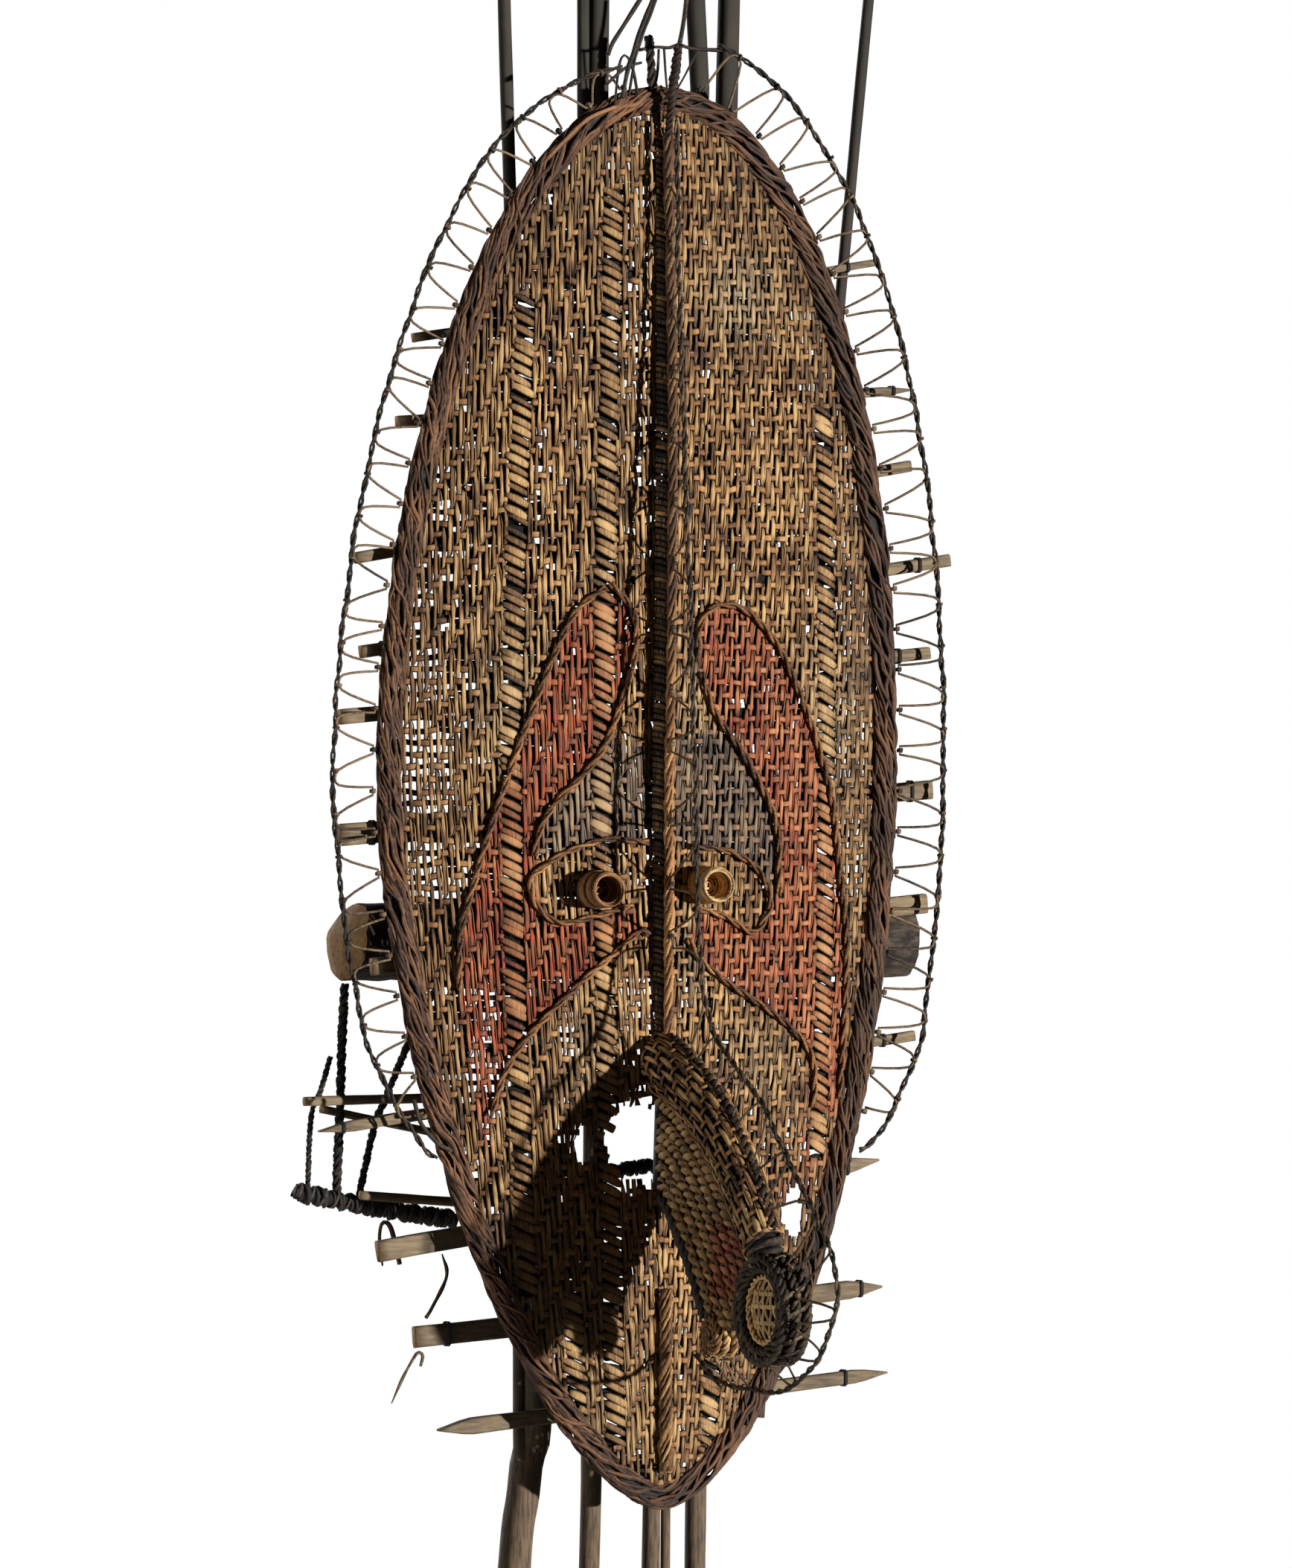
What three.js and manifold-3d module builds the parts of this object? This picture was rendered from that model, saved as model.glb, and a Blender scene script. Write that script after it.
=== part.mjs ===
// Basketry gable mask: a woven face panel in a bundled cane rim, with a hooked nose, coiled eyes and
// looped cane borders, held up by the poles, laths and cross-beam that it is lashed to.
// Millimetres. X is to the viewer's right, Y runs back, Z is up. The origin is on the flat back of the
// cross-beam, behind the mask's middle line.
import * as THREE from 'three';
import { mergeVertices } from 'three/addons/utils/BufferGeometryUtils.js';
import Module from 'manifold-3d';

const wasm = await Module();
wasm.setup();

// The mask's outline
const MASK_HEIGHT = 1336;
const MASK_TOP = 803;
const HALF_WIDTH = 272.6;
const WIDEST_AT = 0.485;
const JAW_FULLNESS = 1.7;
const JAW_ROUNDNESS = 0.59;
const RIM_WIDTH = 27;
const RIM_DEPTH = 18;
const RIM_BEVEL = 6;

// The face's relief
const PANEL_THICKNESS = 5;
const FACE_CROWN = 42;
const CROWN_FULLNESS = 2.2;
const END_BOW = 49;
const BOW_CENTRE = 135;
const BOW_REACH = 668;
const RIDGE_HEIGHT = 13;
const RIDGE_LEAST = 1.5;
const RIDGE_HALF_WIDTH = 8;
const ROPE_RADIUS = 5;

// Canes
const BORDER_CANE_RADIUS = 3.4;
const HOOP_RADIUS = 3.4;
const HOOP_OUT = 46;
const HOOP_FORWARD = 7;
const LOOP_PITCH = 38;
const LOOP_CANE = 1.5;
const LOOP_HALF_WIDTH = 3.9;
const NOSE_LOOP_HALF_WIDTH = 3.6;
const LOOP_SIDES = 3;

// The nose
const TRUNK_HALF_WIDTH = 23;
const TRUNK_DEPTH = 31;
const WEB_THICKNESS = 12;
const WEB_ROPE_RADIUS = 8;
const SCROLL_RADIUS = 53;
const SCROLL_HALF_WIDTH = 17;
const SCROLL_HOLE = 34;
const DISC_HALF_WIDTH = 6;
const SMALL_SCROLL_RADIUS = 24;
const SMALL_SCROLL_HALF_WIDTH = 12;

// The eyes
const EYE_RADIUS = 18;
const EYE_HOLLOW = 11;
const EYE_LENGTH = 34;
const EYE_FLOOR = 8;
const EYE_ROOT = 12;

// The timber that holds the mask up, in layers from the back: beam, poles, laths, rim
const GAP = 0.3;
const BEAM_RADIUS = 37;
const POLE_DEPTH = 20;
const LATH_DEPTH = 11.7;
const POLE_BACK = -2 * BEAM_RADIUS - GAP;
const POLE_FRONT = POLE_BACK - POLE_DEPTH;
const LATH_BACK = POLE_FRONT - GAP;
const RIM_Y = LATH_BACK - LATH_DEPTH - GAP - RIM_DEPTH / 2;
const POLE_TOP = 945;
const POLE_FOOT = -650;

// Places read from the photograph are pixels, [across, down]. It was taken from the left, level with
// the mask, and these values turn a pixel at a known depth into millimetres.
const MM_PER_PIXEL = 0.7;
const PHOTO_MIDDLE = [868, 1053.5];
const PHOTO_TARGET = new THREE.Vector3(7.8, RIM_Y, 148);
const VIEW_DISTANCE = 12000;
const VIEW_TURN = THREE.MathUtils.degToRad(26);

const SIDES_OF_ROD = 8;
const DOWN = new THREE.Vector3(0, 0, -1);

const material = (name, color, roughness) =>
  Object.assign(new THREE.MeshStandardMaterial({ color, roughness, metalness: 0 }), { name });
const CANE = material('weathered split cane', 0x9c7a4e, 0.85);
const RUST_CANE = material('smoke-browned cane', 0x7a4a2c, 0.85);
const DARK_CANE = material('blackened vine', 0x2e2621, 0.9);
const GREY_WOOD = material('weathered sapling wood', 0x6b5a48, 0.9);
const BEAM_WOOD = material('smoked log', 0x4a3b2f, 0.92);

function point(x, y, z) {
  return new THREE.Vector3(x, y, z);
}

// Photograph to object

function atDepth([across, down], y) {
  const slope = ((across - PHOTO_MIDDLE[0]) * MM_PER_PIXEL) / VIEW_DISTANCE;
  const back = y - RIM_Y;
  const cos = Math.cos(VIEW_TURN);
  const sin = Math.sin(VIEW_TURN);
  const x = (slope * VIEW_DISTANCE + back * (slope * cos + sin)) / (cos - slope * sin);
  return placeSeen(x, back, down);
}

function atSide([across, down], side) {
  const slope = ((across - PHOTO_MIDDLE[0]) * MM_PER_PIXEL) / VIEW_DISTANCE;
  const x = side - PHOTO_TARGET.x;
  const cos = Math.cos(VIEW_TURN);
  const sin = Math.sin(VIEW_TURN);
  const back = (x * (cos - slope * sin) - slope * VIEW_DISTANCE) / (slope * cos + sin);
  return placeSeen(x, back, down);
}

function placeSeen(x, back, down) {
  const away = x * Math.sin(VIEW_TURN) + back * Math.cos(VIEW_TURN);
  const z = (PHOTO_MIDDLE[1] - down) * MM_PER_PIXEL * (1 + away / VIEW_DISTANCE);
  return point(PHOTO_TARGET.x + x, RIM_Y + back, PHOTO_TARGET.z + z);
}

function onFace(pixel, lift) {
  let place = atDepth(pixel, RIM_Y - FACE_CROWN);
  for (let pass = 0; pass < 4; pass++) {
    place = atDepth(pixel, faceY(place.x, place.z) - lift);
  }
  return place;
}

// Solids

function outward(geometry) {
  const position = geometry.getAttribute('position');
  const index = geometry.index.array;
  const a = new THREE.Vector3();
  const b = new THREE.Vector3();
  const c = new THREE.Vector3();
  let volume = 0;
  for (let i = 0; i < index.length; i += 3) {
    a.fromBufferAttribute(position, index[i]);
    b.fromBufferAttribute(position, index[i + 1]);
    c.fromBufferAttribute(position, index[i + 2]);
    volume += a.dot(b.cross(c));
  }
  if (volume < 0) {
    for (let i = 0; i < index.length; i += 3) {
      [index[i + 1], index[i + 2]] = [index[i + 2], index[i + 1]];
    }
  }
  return geometry;
}

function bare(geometry) {
  const copy = geometry.clone();
  copy.deleteAttribute('normal');
  copy.deleteAttribute('uv');
  return outward(mergeVertices(copy, 1e-4));
}

function solid(geometry) {
  const merged = bare(geometry);
  return new wasm.Manifold(new wasm.Mesh({
    numProp: 3,
    vertProperties: new Float32Array(merged.getAttribute('position').array),
    triVerts: new Uint32Array(merged.index.array),
  }));
}

function shape(body) {
  const mesh = body.getMesh();
  const geometry = new THREE.BufferGeometry();
  geometry.setAttribute('position', new THREE.BufferAttribute(mesh.vertProperties, 3));
  geometry.setIndex(new THREE.BufferAttribute(mesh.triVerts, 1));
  geometry.computeVertexNormals();
  return geometry;
}

// The side faces over rings of equal count.
function skin(rings) {
  const count = rings[0].length;
  const index = [];
  for (let r = 0; r + 1 < rings.length; r++) {
    for (let i = 0; i < count; i++) {
      const a = r * count + i;
      const b = r * count + ((i + 1) % count);
      index.push(a, b, b + count, a, b + count, a + count);
    }
  }
  return index;
}

function closedBody(rings, index) {
  const geometry = new THREE.BufferGeometry();
  const positions = rings.flat().flatMap((p) => [p.x, p.y, p.z]);
  geometry.setAttribute('position', new THREE.Float32BufferAttribute(positions, 3));
  geometry.setIndex(index);
  return outward(geometry);
}

// A closed body over convex rings, closed by a fan at each end.
function loft(rings) {
  const index = skin(rings);
  const count = rings[0].length;
  const last = (rings.length - 1) * count;
  for (let i = 1; i + 1 < count; i++) {
    index.push(0, i + 1, i, last, last + i, last + i + 1);
  }
  return closedBody(rings, index);
}

// A slab between a front and a back surface, each a function of column and row from 0 to 1. Its ends
// are bent, so they are closed by strips from front to back.
function slab(front, back, columns, rows) {
  const rings = [];
  for (let r = 0; r <= rows; r++) {
    const ring = [];
    for (let c = 0; c <= columns; c++) ring.push(front(c / columns, r / rows));
    for (let c = columns; c >= 0; c--) ring.push(back(c / columns, r / rows));
    rings.push(ring);
  }
  const index = skin(rings);
  const count = 2 * (columns + 1);
  const last = rows * count;
  for (let c = 0; c < columns; c++) {
    const far = count - 1 - c;
    index.push(far, far - 1, c + 1, far, c + 1, c);
    index.push(last + c, last + c + 1, last + far - 1, last + c, last + far - 1, last + far);
  }
  return closedBody(rings, index);
}

// A route whose steps fall exactly where its own parameter says, with its section held square to a
// reference direction.
class Route extends THREE.Curve {
  constructor(place, reference = point(0, 1, 0)) {
    super();
    this.place = place;
    this.reference = reference;
  }

  getPoint(t, target = new THREE.Vector3()) {
    return target.copy(this.place(t));
  }

  getPointAt(t, target) {
    return this.getPoint(t, target);
  }

  getTangentAt(t, target) {
    return this.getTangent(t, target);
  }

  computeFrenetFrames(segments) {
    const frames = { tangents: [], normals: [], binormals: [] };
    for (let i = 0; i <= segments; i++) {
      const tangent = this.getTangentAt(i / segments);
      const normal = this.reference.clone().cross(tangent).normalize();
      frames.tangents.push(tangent);
      frames.normals.push(normal);
      frames.binormals.push(tangent.clone().cross(normal).normalize());
    }
    return frames;
  }
}

function ellipseSection(a, b, sides) {
  const corners = [];
  for (let i = 0; i < sides; i++) {
    const angle = ((i + 0.5) / sides) * 2 * Math.PI;
    corners.push(new THREE.Vector2(a * Math.cos(angle), b * Math.sin(angle)));
  }
  return new THREE.Shape(corners);
}

function sweep(section, route, steps) {
  return new THREE.ExtrudeGeometry(section, { steps, extrudePath: route, curveSegments: 1 });
}

function smooth(places, reference) {
  const curve = new THREE.CatmullRomCurve3(places, false, 'centripetal');
  return new Route((t) => curve.getPointAt(Math.min(Math.max(t, 0), 1)), reference);
}

function cane(places, radius, steps, sides = 6, reference) {
  return sweep(ellipseSection(radius, radius, sides), smooth(places, reference), steps);
}

// A tapering rod between places, its sections square to the run or to a given direction.
function taperedRod(places, radii, sides = SIDES_OF_ROD, reference = point(0, 1, 0), cut = null) {
  const rings = places.map((place, i) => {
    const before = places[Math.max(i - 1, 0)];
    const after = places[Math.min(i + 1, places.length - 1)];
    const run = cut ?? after.clone().sub(before).normalize();
    const across = reference.clone().cross(run).normalize();
    const through = run.clone().cross(across).normalize();
    const [a, b] = radii[Math.min(i, radii.length - 1)];
    return ellipseSection(a, b, sides).getPoints(1).slice(0, sides)
      .map((p) => place.clone().addScaledVector(across, p.x).addScaledVector(through, p.y));
  });
  return loft(rings);
}

// The mask's outline, right half. The turn runs from 0 at the top to 1 at the chin.
function outline(turn, out = 0) {
  const at = (t) => {
    const angle = Math.min(Math.max(t, 0), 1) * Math.PI;
    if (angle <= Math.PI / 2) {
      const share = WIDEST_AT * (1 - Math.cos(angle));
      return new THREE.Vector2(HALF_WIDTH * Math.sin(angle), MASK_TOP - share * MASK_HEIGHT);
    }
    const low = angle - Math.PI / 2;
    const share = WIDEST_AT + (1 - WIDEST_AT) * Math.sin(low) ** (2 / JAW_FULLNESS);
    const half = HALF_WIDTH * Math.max(Math.cos(low), 0) ** (2 * JAW_ROUNDNESS);
    return new THREE.Vector2(half, MASK_TOP - share * MASK_HEIGHT);
  };
  const nudge = 1e-3;
  const run = at(turn + nudge).sub(at(turn - nudge)).normalize();
  return at(turn).add(new THREE.Vector2(-run.y, run.x).multiplyScalar(out));
}

function halfWidthAt(z) {
  const share = (MASK_TOP - z) / MASK_HEIGHT;
  if (share <= WIDEST_AT) {
    return HALF_WIDTH * Math.sqrt(Math.max(1 - ((WIDEST_AT - share) / WIDEST_AT) ** 2, 0));
  }
  const low = Math.min((share - WIDEST_AT) / (1 - WIDEST_AT), 1);
  return HALF_WIDTH * (1 - low ** JAW_FULLNESS) ** JAW_ROUNDNESS;
}

// The rim's ends come forward of its middle.
function rimY(z) {
  return RIM_Y - END_BOW * Math.abs((z - BOW_CENTRE) / BOW_REACH) ** 1.4;
}

// The crowned face inside the rim, the middle of the panel's thickness.
function faceY(x, z) {
  const share = Math.min(Math.max((MASK_TOP - z) / MASK_HEIGHT, 0), 1);
  const crown = FACE_CROWN * Math.sin(Math.PI * share) ** 0.8;
  const across = Math.min(Math.abs(x) / Math.max(halfWidthAt(z) - RIM_WIDTH, 1), 1);
  return rimY(z) - crown * (1 - across ** CROWN_FULLNESS);
}

// The ridge's height on the face, fading at the forehead and towards the nose.
function ridgeHeight(z) {
  const share = (MASK_TOP - z) / MASK_HEIGHT;
  const along = Math.min(Math.max((share - 0.08) / 0.62, 0), 1);
  return RIDGE_LEAST + RIDGE_HEIGHT * Math.sin(Math.PI * along) ** 0.7;
}

const OUTLINE_STEPS = 28;
const FACE_COLUMNS = 12;

function faceGrid(shift) {
  return (column, row) => {
    const turn = (1 + row * (OUTLINE_STEPS - 2)) / OUTLINE_STEPS;
    const edge = outline(turn, -RIM_WIDTH - GAP);
    const x = (2 * column - 1) * edge.x;
    return point(x, faceY(x, edge.y) + shift, edge.y);
  };
}

function faceSlab(front, back) {
  return slab(faceGrid(front), faceGrid(back), FACE_COLUMNS, OUTLINE_STEPS - 2);
}

function plug(centre, halfWidth, halfHeight) {
  const geometry = new THREE.CylinderGeometry(1, 1, 160, 12);
  geometry.scale(halfWidth, 1, halfHeight);
  return solid(geometry.translate(centre.x, centre.y, centre.z));
}

const NOSE_HOLE = [862, 1540];
const CHEEK_TEAR = [1064, 1630];
const JAW_TEAR = [765, 1530];

function facePanel() {
  const half = PANEL_THICKNESS / 2;
  let panel = solid(faceSlab(-half, half));
  for (const [pixel, width, height] of [[NOSE_HOLE, 32, 42], [CHEEK_TEAR, 11, 20], [JAW_TEAR, 17, 19]]) {
    panel = panel.subtract(plug(onFace(pixel, 0), width, height));
  }
  return shape(panel);
}

// All that lies behind the face's front: what stands on the face is cut by it.
const behindFace = solid(faceSlab(-PANEL_THICKNESS / 2 - GAP, 90));

function rimBundle() {
  const halves = [1, -1].map((side) => {
    const route = new Route((t) => {
      const place = outline(t, -RIM_WIDTH / 2);
      const pastMiddle = t <= 0 || t >= 1;
      return point(side * (pastMiddle ? -1 : place.x), rimY(place.y), place.y);
    });
    const corner = RIM_WIDTH / 2;
    const section = new THREE.Shape([
      [corner, 0], [corner - RIM_BEVEL, RIM_DEPTH / 2], [RIM_BEVEL - corner, RIM_DEPTH / 2],
      [-corner, 0], [RIM_BEVEL - corner, -RIM_DEPTH / 2], [corner - RIM_BEVEL, -RIM_DEPTH / 2],
    ].map(([x, y]) => new THREE.Vector2(x, y)));
    return solid(sweep(section, route, OUTLINE_STEPS));
  });
  return shape(halves[0].add(halves[1]));
}

// The ridge down the middle of the forehead, wrapped with cane, and the rope on its crest.
const RIDGE_TOP = 755;
const RIDGE_END = -96;

function noseRidge() {
  const at = (column, row, lift) => {
    const z = RIDGE_TOP + (RIDGE_END - RIDGE_TOP) * row;
    const across = 2 * column - 1;
    const rise = lift * ridgeHeight(z) * (1 - Math.abs(across) ** 4 * 0.85);
    const root = lift ? PANEL_THICKNESS / 2 + GAP + rise : -10;
    return point(across * RIDGE_HALF_WIDTH, faceY(0, z) - root, z);
  };
  const fin = slab((c, r) => at(c, r, 1), (c, r) => at(c, r, 0), 4, 20);
  return shape(solid(fin).subtract(behindFace).subtract(solid(trunkRings(GAP))));
}

function crestPoint(z, lift = 0) {
  return point(0, faceY(0, z) - PANEL_THICKNESS / 2 - 2 * GAP - ridgeHeight(z) - lift, z);
}

function crestRope(grow = 0) {
  const places = [];
  for (let z = RIDGE_TOP; z >= RIDGE_END; z -= 37) places.push(crestPoint(z, ROPE_RADIUS + GAP));
  const radius = ROPE_RADIUS + grow;
  return cane(places, radius, 18, 5, point(1, 0, 0));
}

function chinRope() {
  const places = [-325, -370, -420, -470, -497].map((z) => point(0, faceY(0, z) - 6.5, z));
  return shape(solid(cane(places, 7, 7, 6, point(1, 0, 0))).subtract(behindFace));
}

function topFinial() {
  const back = rimY(MASK_TOP) + RIM_DEPTH / 2 + 6 + 6 * GAP;
  return taperedRod(
    [point(0, back, 782), point(0, back + 3, 806), point(0, back + 10, 850)],
    [[6, 6], [6.5, 6.5], [4.5, 4.5]],
  );
}

// The nose, in the mask's middle plane: a trunk from the bridge to the scroll, a web below it.
const SCROLL_CENTRE_PX = [1038, 1760];
const SMALL_SCROLL_PX = [966, 1796];
const TRUNK_SPINE_PX = [[868, 1424], [905, 1440], [960, 1508], [1002, 1600], [1026, 1672]];

const scrollCentre = atSide(SCROLL_CENTRE_PX, 0);
const smallScrollCentre = atSide(SMALL_SCROLL_PX, 0);

function trunkStations() {
  const spine = new THREE.CatmullRomCurve3(TRUNK_SPINE_PX.map((p) => atSide(p, 0)));
  const steps = 10;
  return Array.from({ length: steps + 1 }, (_, i) => {
    const taper = 1 - 0.22 * (i / steps);
    const place = spine.getPointAt(i / steps);
    return { place, depth: TRUNK_DEPTH * taper, halfWidth: TRUNK_HALF_WIDTH * taper };
  });
}

function trunkRings(grow) {
  const stations = trunkStations();
  const radii = stations.map(({ depth, halfWidth }) => [depth + grow, halfWidth + grow]);
  return taperedRod(stations.map(({ place }) => place), radii, 10, point(1, 0, 0));
}

function scrollDrum(centre, radius, halfWidth, sides) {
  const drum = new THREE.CylinderGeometry(radius, radius, 2 * halfWidth, sides);
  return drum.rotateZ(Math.PI / 2).translate(centre.x, centre.y, centre.z);
}

function noseScroll() {
  const ring = solid(scrollDrum(scrollCentre, SCROLL_RADIUS, SCROLL_HALF_WIDTH, 20));
  const bore = solid(scrollDrum(scrollCentre, SCROLL_HOLE, SCROLL_HALF_WIDTH + 5, 16));
  return shape(ring.subtract(bore));
}

function scrollDisc() {
  return scrollDrum(scrollCentre, SCROLL_HOLE - 1, DISC_HALF_WIDTH, 16);
}

function scrollRoom() {
  return solid(scrollDrum(scrollCentre, SCROLL_RADIUS + GAP, 40, 20));
}

function smallScrollRoom() {
  return solid(scrollDrum(smallScrollCentre, SMALL_SCROLL_RADIUS + GAP, 40, 14));
}

function noseTrunk() {
  return shape(solid(trunkRings(0)).subtract(behindFace).subtract(scrollRoom()));
}

const WEB_EDGE_PX = [[850, 1572], [893, 1612], [926, 1690], [950, 1768]];

function webEdge() {
  return WEB_EDGE_PX.map((p) => atSide(p, 0));
}

function noseWeb() {
  const spine = TRUNK_SPINE_PX.map((p) => atSide(p, 0));
  const corners = [...spine, scrollCentre, smallScrollCentre, ...webEdge().reverse()];
  const flat = new THREE.Shape(corners.map((p) => new THREE.Vector2(p.y, p.z)));
  const plate = new THREE.ExtrudeGeometry(flat, { depth: WEB_THICKNESS, bevelEnabled: false });
  plate.applyMatrix4(new THREE.Matrix4().makeBasis(point(0, 1, 0), point(0, 0, 1), point(1, 0, 0)));
  plate.translate(-WEB_THICKNESS / 2, 0, 0);
  return shape(solid(plate).subtract(solid(trunkRings(GAP))).subtract(scrollRoom())
    .subtract(smallScrollRoom()).subtract(solid(webRope(GAP))).subtract(behindFace));
}

function webRope(grow = 0) {
  return cane(webEdge(), WEB_ROPE_RADIUS + grow, 10, 6, point(1, 0, 0));
}

function webRopePiece() {
  return shape(solid(webRope()).subtract(behindFace).subtract(smallScrollRoom())
    .subtract(scrollRoom()));
}

function smallScroll() {
  const drum = solid(scrollDrum(smallScrollCentre, SMALL_SCROLL_RADIUS, SMALL_SCROLL_HALF_WIDTH, 14));
  const hollow = solid(scrollDrum(smallScrollCentre.clone().add(point(-10, 0, 0)), 13, 6, 12));
  return shape(drum.subtract(hollow).subtract(scrollRoom()));
}

// Coiled cups for the eyes, open in front.
const LEFT_EYE_PX = [799, 1195];
const RIGHT_EYE_PX = [946, 1189];

function eyeCup(pixel) {
  const base = onFace(pixel, PANEL_THICKNESS / 2);
  const front = -EYE_LENGTH;
  const profile = [
    [0, EYE_ROOT], [EYE_RADIUS, EYE_ROOT], [EYE_RADIUS, -EYE_LENGTH / 2], [EYE_RADIUS - 2, front],
    [EYE_HOLLOW + 1, front], [EYE_HOLLOW, -EYE_FLOOR], [0, -EYE_FLOOR],
  ].map(([r, y]) => new THREE.Vector2(r, y));
  const cup = new THREE.LatheGeometry(profile, 12).translate(base.x, base.y, base.z);
  return shape(solid(cup).subtract(behindFace));
}

// Canes laid on the face round the painted fields.
const BORDER_CANES = {
  cane_brow_left_outer: [[813, 790], [775, 821], [746, 878], [712, 964], [689, 1027], [654, 1131],
    [637, 1188], [620, 1251], [617, 1331]],
  cane_brow_left_inner: [[820, 784], [850, 820], [855, 866], [844, 918], [815, 998], [786, 1039],
    [752, 1073], [729, 1108], [718, 1150]],
  cane_cheek_left: [[872, 1257], [861, 1251], [821, 1286], [775, 1326], [735, 1366], [700, 1406],
    [677, 1446], [660, 1500]],
  cane_brow_right_outer: [[937, 889], [940, 843], [955, 819], [979, 813], [1009, 825], [1045, 867],
    [1075, 933], [1099, 999], [1119, 1082], [1128, 1166], [1137, 1249], [1137, 1321], [1134, 1387],
    [1128, 1476]],
  cane_brow_right_inner: [[942, 903], [961, 957], [997, 1010], [1027, 1064], [1045, 1118],
    [1047, 1200]],
  cane_cheek_right: [[925, 1262], [943, 1290], [979, 1321], [1033, 1357], [1069, 1387], [1090, 1416],
    [1095, 1452], [1093, 1488]],
  cane_eye_left: [[872, 1132], [816, 1128], [760, 1146], [730, 1166], [714, 1180], [718, 1210],
    [736, 1232], [760, 1240], [805, 1230], [850, 1216]],
  cane_eye_right: [[929, 1137], [975, 1143], [1010, 1160], [1028, 1184], [1036, 1214], [1026, 1239],
    [1010, 1253], [975, 1232], [938, 1221]],
};

function borderCane(pixels) {
  const places = pixels.map((p) => onFace(p, PANEL_THICKNESS / 2 + BORDER_CANE_RADIUS + 2 * GAP));
  return cane(places, BORDER_CANE_RADIUS, Math.round(pixels.length * 1.5), 4);
}

// Turns that part the outline into even lengths.
function evenTurns(from, to, count, out) {
  const fine = 600;
  const lengths = [0];
  for (let i = 1; i <= fine; i++) {
    const a = outline(from + ((to - from) * (i - 1)) / fine, out);
    const b = outline(from + ((to - from) * i) / fine, out);
    lengths.push(lengths[i - 1] + a.distanceTo(b));
  }
  const turns = [];
  for (let k = 0; k <= count; k++) {
    const wanted = (lengths[fine] * k) / count;
    const i = Math.max(lengths.findIndex((l) => l >= wanted), 1);
    const part = (wanted - lengths[i - 1]) / (lengths[i] - lengths[i - 1]);
    turns.push(from + ((to - from) * (i - 1 + part)) / fine);
  }
  return { turns, length: lengths[fine] };
}

// The outer border: a twisted hoop carried off the rim by a zigzag of loops.
const HOOP_START = 0.045;
const HOOP_END = 0.692;

function hoopOut(turn, topOut) {
  const along = (turn - HOOP_START) / (HOOP_END - HOOP_START);
  const rise = topOut + (HOOP_OUT - topOut) * Math.min(along / 0.18, 1);
  const fall = Math.min(Math.max((1 - along) / 0.09, 0), 1) ** 0.6;
  const least = HOOP_RADIUS + 2 * GAP;
  return least + (rise - least) * fall;
}

function borderPoint(side, turn, out, forward) {
  const place = outline(turn, out);
  return point(side * place.x, rimY(place.y) - forward, place.y);
}

function halo(side, topOut) {
  const { turns, length } = evenTurns(HOOP_START, HOOP_END, 1, 0);
  const loops = Math.round(length / LOOP_PITCH);
  const even = evenTurns(HOOP_START, HOOP_END, 2 * loops, 0).turns;
  const hoop = new Route((t) => {
    const turn = turns[0] + (turns[1] - turns[0]) * t;
    return borderPoint(side, turn, hoopOut(turn, topOut), HOOP_FORWARD);
  });
  const rimSide = LOOP_HALF_WIDTH + GAP;
  const last = even.length - 3;
  const zigzag = polyRoute(even.slice(0, last + 1).map((turn, k) => (k % 2
    ? borderPoint(side, turn, Math.max(hoopOut(turn, topOut) - 1, rimSide), HOOP_FORWARD)
    : borderPoint(side, turn, rimSide, 0))));
  const ring = solid(sweep(ellipseSection(HOOP_RADIUS, HOOP_RADIUS, 4), hoop, 28));
  const loop = solid(sweep(ellipseSection(LOOP_HALF_WIDTH, LOOP_CANE, LOOP_SIDES), zigzag, last));
  return shape(ring.add(loop));
}

// A route straight from each place to the next.
function polyRoute(places, reference) {
  return new Route((t) => {
    const along = Math.min(Math.max(t, 0), 1) * (places.length - 1);
    const i = Math.min(Math.floor(along), places.length - 2);
    return places[i].clone().lerp(places[i + 1], along - i);
  }, reference);
}

// The looped border down the ridge and round the nose. Each loop is tied where the outer cane comes
// nearest to the ridge rope, the trunk or a scroll.
const NOSE_HALO_PX = [[909, 160], [911, 300], [916, 480], [922, 650], [929, 860], [935, 1080],
  [938, 1250], [955, 1375], [997, 1446], [1027, 1488], [1060, 1560], [1100, 1640], [1121, 1695],
  [1125, 1750], [1112, 1800], [1090, 1840], [1050, 1868], [1000, 1865], [960, 1850], [934, 1820]];
const NOSE_LOOPS = 26;
const NOSE_HOOP_RADIUS = 3;

function haloLean(share) {
  return 14 * Math.min(Math.max((share - 0.35) / 0.3, 0), 1);
}

function noseRounds() {
  const rounds = [{ centre: scrollCentre, radius: SCROLL_RADIUS },
    { centre: smallScrollCentre, radius: SMALL_SCROLL_RADIUS }];
  for (let z = RIDGE_TOP - 5; z >= RIDGE_END; z -= 12) {
    rounds.push({ centre: crestPoint(z, ROPE_RADIUS + GAP), radius: ROPE_RADIUS });
  }
  trunkStations().forEach(({ place, depth }) => rounds.push({ centre: place, radius: depth }));
  return rounds;
}

function tieFor(place, rounds, clear) {
  const middle = point(0, place.y, place.z);
  const clearances = rounds.map(({ centre, radius }) => centre.distanceTo(middle) - radius);
  const { centre, radius } = rounds[clearances.indexOf(Math.min(...clearances))];
  const direction = middle.clone().sub(centre).normalize();
  return centre.clone().addScaledVector(direction, radius + clear);
}

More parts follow.
